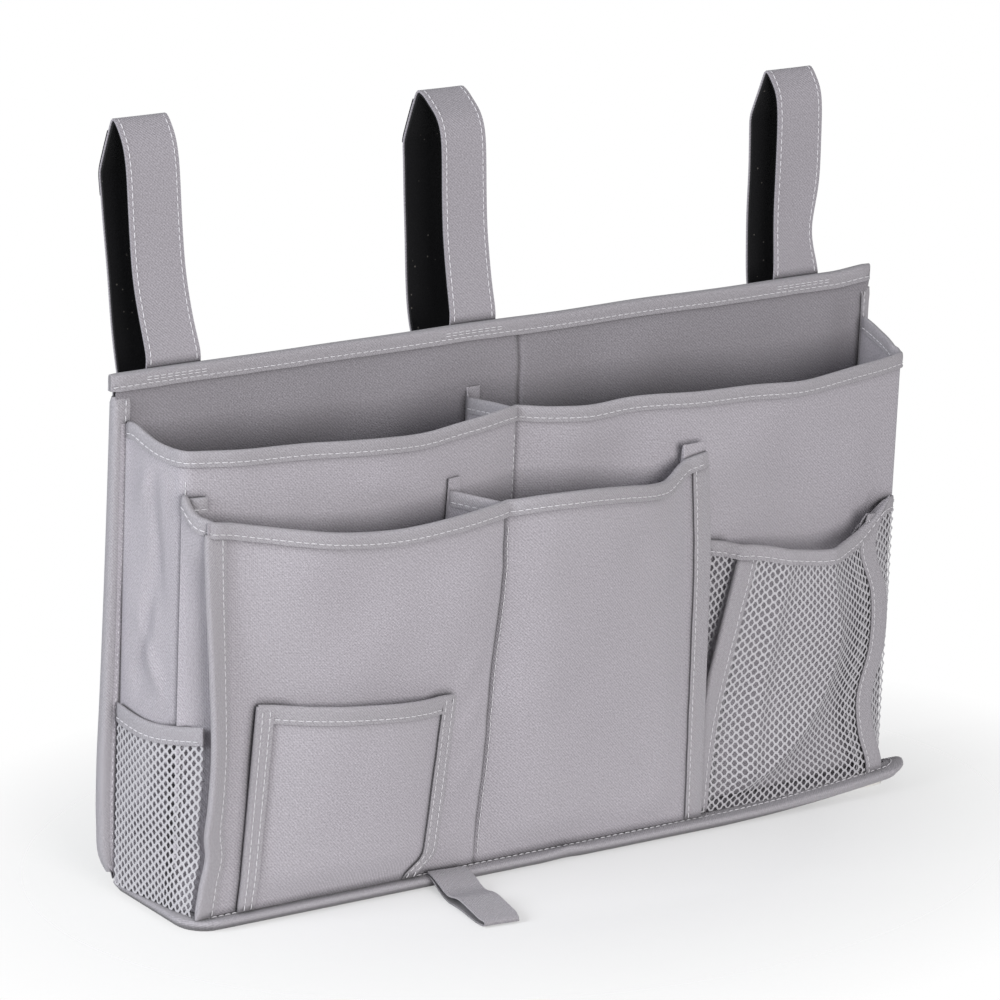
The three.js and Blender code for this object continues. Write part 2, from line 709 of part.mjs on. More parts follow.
// The stretch of a curve between two distances along it
function stretch(curve, from, to, count) {
  const length = curve.getLength();
  return steps(count).map((s) => {
    const point = curve.getPointAt(THREE.MathUtils.lerp(from, to, s) / length);
    return new THREE.Vector2(point.y, point.z);
  });
}

function sideCurve(points) {
  return new THREE.CatmullRomCurve3(points.map(([y, z]) => new THREE.Vector3(0, y, z)));
}

// A strap: its foot is sewn behind the top binding, its tail fastens on a patch behind the back panel
function strap(name, { x, rise, shoulder, lean, tail }) {
  const footY = backY + GAP + TAPE + GAP + STRAP / 2;
  const fastenedY = backY + 3 * GAP + 2 * HOOK_TAPE + STRAP / 2;
  const patchTopZ = BACK_HEIGHT - PATCH_DROP;
  const patchBottomZ = patchTopZ - HOOK_PATCH_HEIGHT;
  const riserCurve = sideCurve([
    [footY, BACK_HEIGHT - STRAP_FOOT],
    [footY, BACK_HEIGHT],
    [footY, BACK_HEIGHT + STRAP_BEND],
    [footY + 0.6 * shoulder, BACK_HEIGHT + 0.37 * rise],
    [footY + shoulder, BACK_HEIGHT + 0.83 * rise],
    [footY + 0.65 * lean + 0.35 * shoulder, BACK_HEIGHT + 0.96 * rise],
    [footY + lean, BACK_HEIGHT + rise],
  ]);
  const tailCurve = sideCurve([
    [footY + lean, BACK_HEIGHT + rise],
    [footY + lean + TAIL_SWELL, BACK_HEIGHT + 0.73 * rise],
    [footY + 0.55 * (lean + TAIL_SWELL) + 0.45 * tail, BACK_HEIGHT + 0.42 * rise],
    [footY + tail, BACK_HEIGHT],
    [footY + 0.7 * tail, BACK_HEIGHT - 0.45 * PATCH_DROP],
    [fastenedY + HOOK_TAPE, patchTopZ - PATCH_OVERLAP],
    [fastenedY, patchTopZ - TAIL_LANDING],
    [fastenedY, patchBottomZ - PATCH_OVERLAP],
  ]);
  const riserLength = riserCurve.getLength();
  const tailLength = tailCurve.getLength();
  const riserTapeEnds = [STRAP_FOOT + HOOK_TAPE_START, riserLength - HOOK_TAPE_START];
  const tailTapeEnds = [HOOK_TAPE_START, tailLength - HOOK_TAPE];
  const riserTape = stretch(riserCurve, ...riserTapeEnds, RISER_STEPS);
  const tailTape = stretch(tailCurve, ...tailTapeEnds, TAIL_STEPS);
  const foot = stretch(riserCurve, 0, riserTapeEnds[0], FOOT_STEPS);
  const crest = stretch(riserCurve, riserTapeEnds[1], riserLength - CREASE, 1);
  const riser = [...foot.slice(0, -1), ...riserTape, crest[1]];
  const fold = stretch(tailCurve, CREASE, tailTapeEnds[0], 1);
  const end = stretch(tailCurve, tailTapeEnds[1], tailLength, 1);
  const tailLine = [fold[0], ...tailTape, end[1]];
  const half = STRAP / 2;
  const tapeNear = -half - GAP;
  const tapeFar = tapeNear - HOOK_TAPE;
  add(`${name}_strap_riser`, band(riser, -half, half, STRAP_WIDTH, x), clothColour);
  add(`${name}_strap_tail`, band(tailLine, -half, half, STRAP_WIDTH, x), clothColour);
  add(`${name}_strap_riser_tape`, band(riserTape, tapeNear, tapeFar, HOOK_TAPE_WIDTH, x), hookColour);
  add(`${name}_strap_tail_tape`, band(tailTape, tapeNear, tapeFar, HOOK_TAPE_WIDTH, x), hookColour);
  const halfWidth = HOOK_TAPE_WIDTH / 2;
  const patchY = backY + GAP + HOOK_TAPE / 2;
  const patch = uprightPlate(x - halfWidth, x + halfWidth, patchBottomZ, patchTopZ, patchY, HOOK_TAPE);
  add(`${name}_strap_patch`, patch, hookColour);
}

// The pull tab: a loop of tape pressed flat, sewn on the lip and lying out over the table
function pullTab() {
  const { lerp, smoothstep } = THREE.MathUtils;
  const overLip = TAB_ROOT + (TAB_WIDTH / 2) * Math.abs(Math.sin(TAB_SKEW)) + GAP;
  const landed = overLip + TAB_SLOPE;
  const slitStart = landed + TAB_SLIT_EASE;
  const tipRadius = TAB_TAPE + TAB_SLIT / 2;
  const tipStart = TAB_LENGTH - tipRadius;
  const underside = (s) => lerp(wallZ, GAP, smoothstep(s, overLip, landed));
  const thickness = (s) => 2 * TAB_TAPE + TAB_SLIT * smoothstep(s, landed, slitStart);
  const drop = steps(7).map((s) => lerp(overLip, landed, s));
  const stations = [0, ...drop, slitStart];
  const profile = new THREE.Shape();
  profile.moveTo(0, underside(0));
  for (const s of stations.slice(1)) profile.lineTo(s, underside(s));
  profile.absarc(tipStart, GAP + tipRadius, tipRadius, -Math.PI / 2, Math.PI / 2, false);
  for (const s of stations.reverse()) profile.lineTo(s, underside(s) + thickness(s));
  const slitBottom = GAP + TAB_TAPE;
  const slit = new THREE.Path();
  slit.moveTo(slitStart, slitBottom);
  slit.lineTo(tipStart, slitBottom);
  slit.lineTo(tipStart, slitBottom + TAB_SLIT);
  slit.lineTo(slitStart, slitBottom + TAB_SLIT);
  profile.holes.push(slit);
  const settings = { depth: TAB_WIDTH, bevelEnabled: false, curveSegments: CORNER_STEPS };
  const loop = new THREE.ExtrudeGeometry(profile, settings).translate(0, 0, -TAB_WIDTH / 2);
  const outward = new THREE.Vector3(0, -1, 0);
  const sideways = new THREE.Vector3(-1, 0, 0);
  loop.applyMatrix4(new THREE.Matrix4().makeBasis(outward, UP, sideways));
  const tab = add("pull_tab", loop, bindingColour);
  tab.position.set(patchRight + TAB_OFFSET, TAB_ROOT - baseDepth / 2, 0);
  tab.rotation.z = TAB_SKEW;
}

base();
backPanel();
rearTier();
frontTier();
patchPocket();
sideNetPocket();
meshPocket();
strap("left", LEFT_STRAP);
strap("middle", MIDDLE_STRAP);
strap("right", RIGHT_STRAP);
pullTab();

export default caddy;
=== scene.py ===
"""Bedside caddy: sewn cloth, folded tape, nets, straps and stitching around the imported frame."""

import json
import math
from bisect import bisect

import bpy
import numpy as np
from mathutils import Matrix, Vector, noise


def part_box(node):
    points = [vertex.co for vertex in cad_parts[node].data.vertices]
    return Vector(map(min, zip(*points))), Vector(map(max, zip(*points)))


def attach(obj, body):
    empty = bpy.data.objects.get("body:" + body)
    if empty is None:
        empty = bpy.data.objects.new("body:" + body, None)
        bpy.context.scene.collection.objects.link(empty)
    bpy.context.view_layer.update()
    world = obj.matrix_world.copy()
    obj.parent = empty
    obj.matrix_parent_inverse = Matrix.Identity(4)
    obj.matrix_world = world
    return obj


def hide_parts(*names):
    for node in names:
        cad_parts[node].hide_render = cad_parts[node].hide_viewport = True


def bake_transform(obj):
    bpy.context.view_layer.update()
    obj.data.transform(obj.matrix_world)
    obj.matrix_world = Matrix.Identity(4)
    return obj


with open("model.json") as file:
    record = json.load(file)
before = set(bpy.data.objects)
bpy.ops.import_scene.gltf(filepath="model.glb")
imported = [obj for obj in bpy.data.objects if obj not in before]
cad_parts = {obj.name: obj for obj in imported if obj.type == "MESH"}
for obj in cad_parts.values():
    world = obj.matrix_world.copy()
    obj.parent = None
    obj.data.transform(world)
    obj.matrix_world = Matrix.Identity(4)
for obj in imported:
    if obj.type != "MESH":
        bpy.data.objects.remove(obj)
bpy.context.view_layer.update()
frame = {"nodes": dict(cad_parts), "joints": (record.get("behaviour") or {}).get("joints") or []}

# Shapes are worked out in millimetres and turned into metres when a mesh is made
MM = 0.001
UP = np.array((0.0, 0.0, 1.0))
FORWARD = np.array((0.0, -1.0, 0.0))

# Stock, as in the part's source
CLOTH = 0.8
TAPE = 0.8
HEM = 11.0
MOUTH_HEM = 7.5
EDGE_HEM = 8.0
PATCH_HEM = 9.0
GAP = 0.3
WRAP = TAPE + GAP
SLOT = CLOTH / 2 + GAP
DOUBLE_SLOT = SLOT + CLOTH + GAP
GRID = 3.0

# Stitching
STITCH_PITCH = 4.2
STITCH_LENGTH = 3.6
STITCH_RADIUS = 0.33
STITCH_INSET = 2.3
STITCH_SLANT = 0.12
STITCH_SINK = 0.15


def node_box(node):
    low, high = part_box(node)
    return np.array(low) / MM, np.array(high) / MM


# Places of the walls, read from the frame
back_low, back_high = node_box("back_outer")
lining_low, lining_high = node_box("back_lining")
rear_high = node_box("rear_pocket_panel")[1]
front_low, front_high = node_box("front_pocket_panel")
mesh_low, mesh_high = node_box("mesh_front_net")
base_high = node_box("base_binding")[1]

BACK_EDGE = back_high[0]
BACK_TOP = back_high[2]
BACK_Y = (back_low[1] + back_high[1]) / 2
LINING_Y = (lining_low[1] + lining_high[1]) / 2
BACK_MIDDLE_Y = (back_high[1] + lining_low[1]) / 2
BACK_HALF = (back_high[1] - lining_low[1]) / 2 + GAP
FLANGE_Y = LINING_Y - CLOTH - GAP
WALL_Z = back_low[2]
BACK_SEAM_X = 6.0

GUSSET_X = rear_high[0]
REAR_Y = rear_high[1] - CLOTH / 2
REAR_TOP = rear_high[2]
REAR_SEAM_X = -26.2
REAR_BULGES = (10.0, 15.0)
REAR_LEFT_ROUND = 6.0
REAR_RIGHT_ROUND = 3.0

FRONT_LEFT = front_low[0]
FRONT_RIGHT = front_high[0]
FRONT_Y = front_high[1] - CLOTH / 2
FRONT_FLANGE_Y = FRONT_Y + CLOTH + GAP
FRONT_TOP = front_high[2]
FRONT_SEAM_X = -57.2
FRONT_LEAN = 17.0
FRONT_BULGE = 7.0
FRONT_FOOT_BULGE = 4.5
SEAM_REACH = 15.4
CORNER_REACH = 14.3
FRONT_FROM = FRONT_LEFT + SEAM_REACH
FRONT_TO = FRONT_RIGHT - SEAM_REACH

PATCH_LEFT = -203.5
PATCH_RIGHT = -85.5
PATCH_TOP = 117.5
PATCH_TILT = 10.0
PATCH_BULGE = 7.5
PATCH_FLARE = 6.0

MESH_LEFT = mesh_low[0]
MESH_RIGHT = mesh_high[0]
MESH_TOP = mesh_high[2]
MESH_CORNER_REACH = 16.8

BASE_FRONT_CORNER = 20.0
BASE_BACK_CORNER = 3.0
LIP_UNDERCUT = 3.0
BASE_HALF_WIDTH = base_high[0]
BASE_HALF_DEPTH = base_high[1]
BASE_TOP = base_high[2]


def lerp(a, b, t):
    return a + (b - a) * t


def clamp(t):
    return min(max(t, 0.0), 1.0)


def smooth(t):
    t = clamp(t)
    return t * t * (3 - 2 * t)


def crown(share):
    """How far a slack panel stands out between two seams: 0 at each seam, 1 halfway."""
    return 1 - abs(2 * clamp(share) - 1) ** 2.5


def fill(share):
    return math.sin(clamp(share) * math.pi / 2)


def hump(place, middle, reach):
    """A soft bump round a place on a line."""
    return math.exp(-(((place - middle) / reach) ** 2))


def profile(*knots):
    """A smooth line through (place, value) knots."""
    places, values = (np.array(column, float) for column in zip(*knots))
    slopes = np.gradient(values, places)

    def value(place):
        place = min(max(place, places[0]), places[-1])
        i = min(max(bisect(places, place) - 1, 0), len(places) - 2)
        span = places[i + 1] - places[i]
        t = (place - places[i]) / span
        start = values[i] * (1 + 2 * t) * (1 - t) ** 2 + slopes[i] * span * t * (1 - t) ** 2
        end = values[i + 1] * t * t * (3 - 2 * t) + slopes[i + 1] * span * t * t * (t - 1)
        return start + end

    return value


def ripple(a, b, seed, scale):
    """Smooth noise from -1 to 1 over a cloth's own two directions, in millimetres."""
    return noise.noise(Vector((a / scale, b / scale, seed)))


def crease(place, start, end, width):
    """How near a place is to a soft fold along a line: 1 on it, fading out at its ends."""
    place, start, end = (np.array(p, float) for p in (place, start, end))
    along = end - start
    share = float((place - start) @ along / (along @ along))
    off = np.linalg.norm(place - start - along * share)
    return math.exp(-((off / width) ** 2)) * smooth(2 * share) * smooth(2 - 2 * share)


def unit(vectors):
    return vectors / np.maximum(np.linalg.norm(vectors, axis=-1, keepdims=True), 1e-9)


def spaced(start, end, step=GRID):
    """Evenly spaced places from start to end, about a step apart."""
    return np.linspace(start, end, max(int(abs(end - start) / step), 1) + 1)


def merged(*places):
    """Several lists of places as one, in order."""
    return np.unique(np.concatenate(places))


# Materials

# Reach in millimetres of the painted shade: an ambient occlusion node darkens the cloth's colour near other
# surfaces
SHADE_REACH = 5.0
END_SHADE_REACH = 1.5


def new_tree(name):
    material = bpy.data.materials.new(name)
    material.use_nodes = True
    return material, material.node_tree


def feed(tree, node, inputs):
    """Set a node's sockets: each gets a number, a colour or another node's output."""
    for socket, value in inputs.items():
        if isinstance(value, bpy.types.NodeSocket):
            tree.links.new(value, node.inputs[socket])
        else:
            node.inputs[socket].default_value = value


def add(tree, kind, inputs):
    node = tree.nodes.new(kind)
    feed(tree, node, inputs)
    return node


def add_math(tree, operation, *values):
    node = tree.nodes.new("ShaderNodeMath")
    node.operation = operation
    feed(tree, node, dict(enumerate(values)))
    return node.outputs["Value"]


def add_ramp(tree, share, *stops):
    """The colours of a ramp over share, through (place, colour) stops."""
    ramp = add(tree, "ShaderNodeValToRGB", {"Fac": share})
    elements = ramp.color_ramp.elements
    while len(elements) < len(stops):
        elements.new(0.5)
    for element, (place, colour) in zip(elements, stops):
        element.position = place
        element.color = (*colour, 1)
    return ramp.outputs["Color"]


def add_noise(tree, place, scale, detail):
    inputs = {"Scale": scale, "Detail": detail, "Vector": place}
    return add(tree, "ShaderNodeTexNoise", inputs).outputs["Fac"]


def object_place(tree):
    return tree.nodes.new("ShaderNodeTexCoord").outputs["Object"]


def finish_material(tree, colour, relief, gloss, strength, depth):
    """Join the colour and the relief to the shader; depth is the relief's, in millimetres."""
    bump = add(tree, "ShaderNodeBump", {"Strength": strength, "Distance": depth * MM, "Height": relief})
    joined = {"Base Color": colour, "Normal": bump.outputs["Normal"]}
    feed(tree, tree.nodes["Principled BSDF"], {**gloss, **joined})


def tinted(colour, factor):
    return tuple(channel * factor for channel in colour)


def woven(name, colour, thread, weave_bump, mottling, reach=SHADE_REACH):
    """Woven stuff: warp, weft and a twill line, thread apart, with cloudy dye and painted shade in its
    creases and corners.
    """
    material, tree = new_tree(name)
    place = tree.nodes.new("ShaderNodeUVMap").outputs["UV"]
    weave = {"Scale": math.pi / 10 / (thread * MM), "Distortion": 1.4, "Detail": 1.0, "Vector": place}
    waves = []
    for direction in ("X", "Y", "DIAGONAL"):
        wave = add(tree, "ShaderNodeTexWave", weave)
        wave.bands_direction = direction
        waves.append(wave.outputs["Fac"])
    threads = add_math(tree, "MULTIPLY", waves[0], waves[1])
    height = add_math(tree, "ADD", threads, waves[2])
    cloud = add_noise(tree, place, scale=900.0, detail=6.0)
    shade = add_math(tree, "MULTIPLY_ADD", height, 0.22, cloud)
    dark = tinted(colour, 1 - mottling)
    light = tinted(colour, 1 + mottling)
    dye = add_ramp(tree, shade, (0.35, dark), (0.7, colour), (1.0, light))
    # Painted shade: ambient occlusion darkens the dye at tape edges, seams, folds and where parts meet
    near = add(tree, "ShaderNodeAmbientOcclusion", {"Distance": reach * MM})
    near.samples = 6
    crevice_shade = add_ramp(tree, near.outputs["AO"], (0.42, (0.34, 0.34, 0.34)), (0.94, (1, 1, 1)))
    shaded_dye = tree.nodes.new("ShaderNodeMix")
    shaded_dye.data_type = "RGBA"
    shaded_dye.blend_type = "MULTIPLY"
    feed(tree, shaded_dye, {0: 1.0, 6: dye, 7: crevice_shade})
    gloss = {"Roughness": 0.86, "Specular IOR Level": 0.25, "Sheen Weight": 0.2, "Sheen Roughness": 0.45}
    finish_material(tree, shaded_dye.outputs[2], height, gloss, strength=weave_bump, depth=0.25)
    return material


def twisted(name, colour, roughness=0.7):
    """Sewing thread or net yarn: fine slanting strands."""
    material, tree = new_tree(name)
    strands = add_noise(tree, object_place(tree), scale=1500.0, detail=3.0)
    shades = add_ramp(tree, strands, (0.3, tinted(colour, 0.86)), (0.75, tinted(colour, 1.06)))
    gloss = {"Roughness": roughness, "Sheen Weight": 0.3}
    finish_material(tree, shades, strands, gloss, strength=0.4, depth=0.1)
    return material


def pile(name, colour, speck):
    """Hook-and-loop pile: black tufts with a few pale lint specks."""
    material, tree = new_tree(name)
    place = object_place(tree)
    lint = add(tree, "ShaderNodeTexVoronoi", {"Scale": 170.0, "Vector": place})
    shades = add_ramp(tree, lint.outputs["Distance"], (0.07, speck), (0.1, colour))
    tufts = add_noise(tree, place, scale=1100.0, detail=4.0)
    gloss = {"Roughness": 0.95, "Specular IOR Level": 0.1, "Sheen Weight": 0.06}
    finish_material(tree, shades, tufts, gloss, strength=0.9, depth=0.6)
    return material


def pressed_board(name, colour):
    """Pressed fibre board: flecked, with a faint tooth."""
    material, tree = new_tree(name)
    fleck = add_noise(tree, object_place(tree), scale=260.0, detail=8.0)
    shades = add_ramp(tree, fleck, (0.35, tinted(colour, 0.85)), (0.65, colour))
    finish_material(tree, shades, fleck, {"Roughness": 0.7}, strength=0.2, depth=0.2)
    return material


CLOTH_COLOUR = (0.424, 0.401, 0.436)
TAPE_COLOUR = (0.385, 0.368, 0.394)
# Painted shade: the straps are the same cloth, darkened to stand in for the dimmer light up at the straps
SHADED_STRAP_COLOUR = tinted(CLOTH_COLOUR, 0.86)
# Painted shade: the lining is the same cloth as the outside, darkened to stand in for the shade inside the
# caddy
SHADED_LINING_COLOUR = tinted(CLOTH_COLOUR, 0.66)
OXFORD = {"thread": 0.95, "weave_bump": 0.7, "mottling": 0.3}
cloth_material = woven("oxford_cloth", CLOTH_COLOUR, **OXFORD)
# The end walls get a shorter reach of painted shade, so that the nets before them don't darken their colour
end_material = woven("end_cloth", CLOTH_COLOUR, **OXFORD, reach=END_SHADE_REACH)
shaded_lining_material = woven("shaded_lining_cloth", SHADED_LINING_COLOUR, **OXFORD)
shaded_strap_material = woven("strap_cloth", SHADED_STRAP_COLOUR, thread=0.95, weave_bump=0.6, mottling=0.26)
tape_material = woven("binding_tape", TAPE_COLOUR, thread=0.8, weave_bump=0.7, mottling=0.28)
thread_material = twisted("sewing_thread", (0.66, 0.645, 0.675))
net_material = twisted("net_yarn", (0.49, 0.48, 0.505), 0.6)
pile_material = pile("hook_and_loop", (0.009, 0.009, 0.01), (0.12, 0.11, 0.10))
board_material = pressed_board("stiffener_board", (0.75, 0.74, 0.7))


# Meshes

def make_piece(name, points, faces, uvs, material, slot, body="caddy", nodes=(), sharp=50):
    """A mesh object from points in millimetres, riding on a body and standing for CAD nodes."""
    mesh = bpy.data.meshes.new(name)
    mesh.from_pydata((points * MM).tolist(), [], faces)
    layer = mesh.uv_layers.new(name="cloth")
    corners = np.zeros(len(mesh.loops), np.int32)
    mesh.loops.foreach_get("vertex_index", corners)
    layer.data.foreach_set("uv", (uvs[corners] * MM).astype(np.float32).ravel())
    mesh.shade_smooth()
    mesh.set_sharp_from_angle(angle=math.radians(sharp))
    mesh.materials.append(material)
    piece = bpy.data.objects.new(name, mesh)
    bpy.context.scene.collection.objects.link(piece)
    if body:
        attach(piece, body)
    if nodes:
        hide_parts(*nodes)
    return piece


def running_length(points):
    """Distance along a line of points."""
    return np.concatenate(([0.0], np.cumsum(np.linalg.norm(np.diff(points, axis=0), axis=1))))


def grid_faces(columns, rows, offset=0, flip=False):
    faces = []
    for i in range(columns - 1):
        for j in range(rows - 1):
            a = offset + i * rows + j
            quad = (a, a + rows, a + rows + 1, a + 1)
            faces.append(quad[::-1] if flip else quad)
    return faces


def rim_faces(columns, rows):
    """Faces that close the edge between a sheet's two faces."""
    other = columns * rows
    ring = [i * rows for i in range(columns)]
    ring += [(columns - 1) * rows + j for j in range(1, rows)]
    ring += [i * rows + rows - 1 for i in range(columns - 2, -1, -1)]
    ring += list(range(rows - 2, 0, -1))
    pairs = zip(ring, ring[1:] + ring[:1])
    return [(b, a, a + other, b + other) for a, b in pairs]


def tube_faces(start, rings, sides, loop=False):
    """The faces of a tube whose rings of points follow each other, closed at its ends or into a loop."""
    faces = []
    for r in range(rings if loop else rings - 1):
        here = start + r * sides
        ahead = start + (r + 1) % rings * sides
        for k in range(sides):
            after = (k + 1) % sides
            faces.append((here + k, here + after, ahead + after, ahead + k))
    if not loop:
        last = start + (rings - 1) * sides
        faces.append(tuple(range(start, start + sides))[::-1])
        faces.append(tuple(range(last, last + sides)))
    return faces


def uv_grid(across, upward):
    return np.stack(np.meshgrid(across, upward, indexing="ij"), axis=-1).reshape(-1, 2)


def sheet_normals(middle):
    return unit(np.cross(np.gradient(middle, axis=0), np.gradient(middle, axis=1)))


def cloth_sheet(name, us, vs, surface, nodes, material=None, slot="cloth", thickness=CLOTH, body="caddy",
                held="stretched"):
    """A closed sheet of cloth round surface(u, v)."""
    middle = np.array([[surface(u, v) for v in vs] for u in us], float)
    columns, rows = middle.shape[:2]
    normals = sheet_normals(middle)
    faces_at = [middle + normals * side * thickness / 2 for side in (1, -1)]
    points = np.concatenate([side.reshape(-1, 3) for side in faces_at])
    across = running_length(middle[:, rows // 2])
    upward = running_length(middle[columns // 2])
    uv = uv_grid(across, upward)
    faces = grid_faces(columns, rows)
    faces += grid_faces(columns, rows, columns * rows, flip=True)
    faces += rim_faces(columns, rows)
    uvs = np.concatenate((uv, uv))
    piece = make_piece(name, points, faces, uvs, material or cloth_material, slot, body, nodes)
    return piece


FOLD_STEPS = 6
END_PINCH = 0.45
CLOSED = 0.04


def tape_leg(hem):
    """The outside of one leg of a folded tape: how far in from the edge, and how proud of its thickness."""
    row = hem - STITCH_INSET
    return (hem, 0.25), (hem - 0.5, 0.45), (row, -0.2), (hem * 0.5, 0.12), (hem * 0.2, 0.15), (0.4, 0.0)


def tape_outline(front, back, hem):
    """A tape folded round an edge: its outside and inside as (inward, towards the front) pairs."""
    leg = tape_leg(hem)
    outside = [(inward, front + TAPE + proud) for inward, proud in leg]
    middle = (front - back) / 2
    half = (front + back) / 2 + TAPE
    for step in range(1, FOLD_STEPS):
        angle = math.pi * step / FOLD_STEPS
        outside.append((0.4 - (WRAP + 0.4) * math.sin(angle), middle + half * math.cos(angle)))
    outside += [(inward, -back - TAPE - proud) for inward, proud in reversed(leg)]
    inside = [(hem, -back), (-GAP / 2, -back), (-GAP / 2, front), (hem, front)]
    return outside, inside


def pinched(outside, inside):
    """The same outline pressed together, for a tape's cut end."""
    return [(d, s * END_PINCH) for d, s in outside] + [(d, s * CLOSED) for d, s in inside]


def folded_tape(name, stations, place, nodes, front=SLOT, back=SLOT, loop=False, seed=0.0, hem=HEM):
    """A tape folded over an edge. place(i, inward, towards) gives a point of its outline at a station."""
    outside, inside = tape_outline(front, back, hem)
    rows = []
    for i in range(stations):
        wave = 0.25 * noise.noise(Vector((i * 0.31, seed, 0.5)))
        at_end = not loop and i in (0, stations - 1)
        outline = pinched(outside, inside) if at_end else outside + inside
        rows.append([place(i, d + wave * smooth(d / hem), s) for d, s in outline])
    points = np.array(rows, float)
    along = running_length(points[:, 0])
    around = running_length(np.array(outside + inside))
    uv = uv_grid(along, around)
    faces = tube_faces(0, stations, len(around), loop)
    points = points.reshape(-1, 3)
    piece = make_piece(name, points, faces, uv, tape_material, "binding_tape", nodes=nodes, sharp=60)
    running_length(np.array(outside))[-1]


def rail_place(rail):
    """Points of a tape's section along a rail of (edge, inward, face) places."""
    def place(i, inward, towards):
        edge, way_in, face = rail[i]
        return edge + way_in * inward + face * towards

    return place


def line_rail(line_at, height):
    """The rail along the top of a wall. line_at(v) gives the wall's points at a share of its height."""
    edges = line_at(1)
    inward = unit(line_at(1 - HEM / height) - edges)
    along = unit(np.gradient(edges, axis=0))
    faces = unit(np.cross(along, -inward))
    return list(zip(edges, inward, faces))


def top_rail(us, surface, height):
    return line_rail(lambda v: np.array([surface(u, v) for u in us], float), height)


def tape_on_rail(name, rail, nodes, front=SLOT, back=SLOT, seed=0.0, both_sides=True, hem=MOUTH_HEM):
    """A folded tape along a rail, with its rows of stitches."""
    folded_tape(name, len(rail), rail_place(rail), nodes, front, back, seed=seed, hem=hem)
    rows = [rail_row(rail, hem - STITCH_INSET, front + TAPE - STITCH_SINK)]
    if both_sides:
        rows.append(rail_row(rail, hem - STITCH_INSET, -back - TAPE + STITCH_SINK))
    stitches(name + "_stitches", rows)


def edge_tape(name, us, surface, height, **fold):
    """A folded tape along the top of a wall."""
    tape_on_rail(name + "_tape", top_rail(us, surface, height), [name + "_binding"], **fold)


def rail_row(rail, inward, towards):
    """A stitch row along a rail, as points and the way that they face."""
    edges, ways_in, faces = (np.array(column) for column in zip(*rail))
    side = 1 if towards > 0 else -1
    return edges + ways_in * inward + faces * towards, faces * side


def surface_row(surface, places, lift, towards):
    """A stitch row on a wall, along a list of (u, v) places."""
    points, normals = [], []
    step = 0.004
    for u, v in places:
        here = np.array(surface(u, v))
        across = np.array(surface(u + step, v)) - np.array(surface(u - step, v))
        upward = np.array(surface(u, v + step)) - np.array(surface(u, v - step))
        normal = unit(np.cross(across, upward))
        if normal @ towards < 0:
            normal = -normal
        points.append(here + normal * lift)
        normals.append(normal)
    return np.array(points), np.array(normals)


# Each ring of a stitch: how far along its half length, how wide, and how high above the cloth
STITCH_RINGS = (
    (-1.0, 0.15, -0.75), (-0.72, 0.85, 0.0), (0.0, 1.0, 0.45), (0.72, 0.85, 0.0), (1.0, 0.15, -0.75)
)
STITCH_SIDES = 6


def along_line(values, reach, at):
    """The values of a line's points at a distance along it."""
    return np.array([np.interp(at, reach, column) for column in values.T])


def stitches(name, rows, body="caddy"):
    """Rows of single stitches, each a short arched length of thread that dips into the cloth."""
    points, faces = [], []
    for row, normals in rows:
        reach = running_length(row)
        middles = np.arange(STITCH_PITCH * 0.6, reach[-1] - STITCH_PITCH * 0.4, STITCH_PITCH)
        for i, middle in enumerate(middles):
            here = along_line(row, reach, middle)
            ahead = along_line(row, reach, middle + STITCH_LENGTH / 2)
            behind = along_line(row, reach, middle - STITCH_LENGTH / 2)
            normal = unit(along_line(normals, reach, middle))
            along = unit(ahead - behind)
            slant = STITCH_SLANT * noise.noise(Vector((i * 0.7, reach[-1], 2.0)))
            along = unit(along + np.cross(normal, along) * slant)
            side = np.cross(normal, along)
            faces += tube_faces(len(points), len(STITCH_RINGS), STITCH_SIDES)
            for share, width, height in STITCH_RINGS:
                centre = here + along * share * STITCH_LENGTH / 2 + normal * height * STITCH_RADIUS
                for k in range(STITCH_SIDES):
                    angle = 2 * math.pi * k / STITCH_SIDES
                    ring = normal * math.cos(angle) + side * math.sin(angle)
                    points.append(centre + ring * width * STITCH_RADIUS)
    points = np.array(points)
    return make_piece(name, points, faces, points[:, :2], thread_material, "binding_tape", body, sharp=80)


def seam_stitches(name, surface, u, start, end, lift=CLOTH / 2, towards=FORWARD):
    """A row of stitches up a wall, at one place along it."""
    seam = [(u, v) for v in spaced(start, end, 0.02)]
    stitches(name, [surface_row(surface, seam, lift, towards)])


# Net yarn: flat wavy yarns that touch their neighbours at each turn, which makes rounded cells
NET_SIDES = 5
NET_STEPS = 6
YARN_THICKNESS = 0.7
YARN_OVERLAP = 0.3
TURN_FLATNESS = 1.8


def net(name, surface, width, height, cell, yarn, nodes):
    """A knitted net over surface(u, v): one wavy yarn for each half row of cells."""
    halves = max(round(2 * width / cell[0]), 2)
    levels = max(round(2 * height / cell[1]), 2)
    count = halves * NET_STEPS + 1
    reach = 0.5 - YARN_OVERLAP * yarn * levels / height
    step = 0.002
    points, faces = [], []
    yarn_length = 0.0
    for level in range(levels):
        line, normals = [], []
        for k in range(count):
            wave = TURN_FLATNESS * math.sin(math.pi * (k / NET_STEPS + level + 0.5))
            swing = reach * min(max(wave, -1.0), 1.0)
            u = k / (count - 1)
            v = (level + 0.5 + swing) / levels
            here = np.array(surface(u, v))
            across = np.array(surface(u + step, v)) - here
            upward = np.array(surface(u, v + step)) - here
            line.append(here)
            normals.append(np.cross(across, upward))
        line = np.array(line)
        normals = unit(np.array(normals))
        sides = np.cross(normals, unit(np.gradient(line, axis=0)))
        yarn_length += running_length(line)[-1]
        faces += tube_faces(len(points), count, NET_SIDES)
        for k in range(count):
            for s in range(NET_SIDES):
                angle = 2 * math.pi * s / NET_SIDES
                out = normals[k] * math.cos(angle) * YARN_THICKNESS / 2
                points.append(line[k] + out + sides[k] * math.sin(angle) * yarn / 2)
    points = np.array(points)
    piece = make_piece(name, points, faces, points[:, :2], net_material, "net", nodes=nodes, sharp=80)


# Base

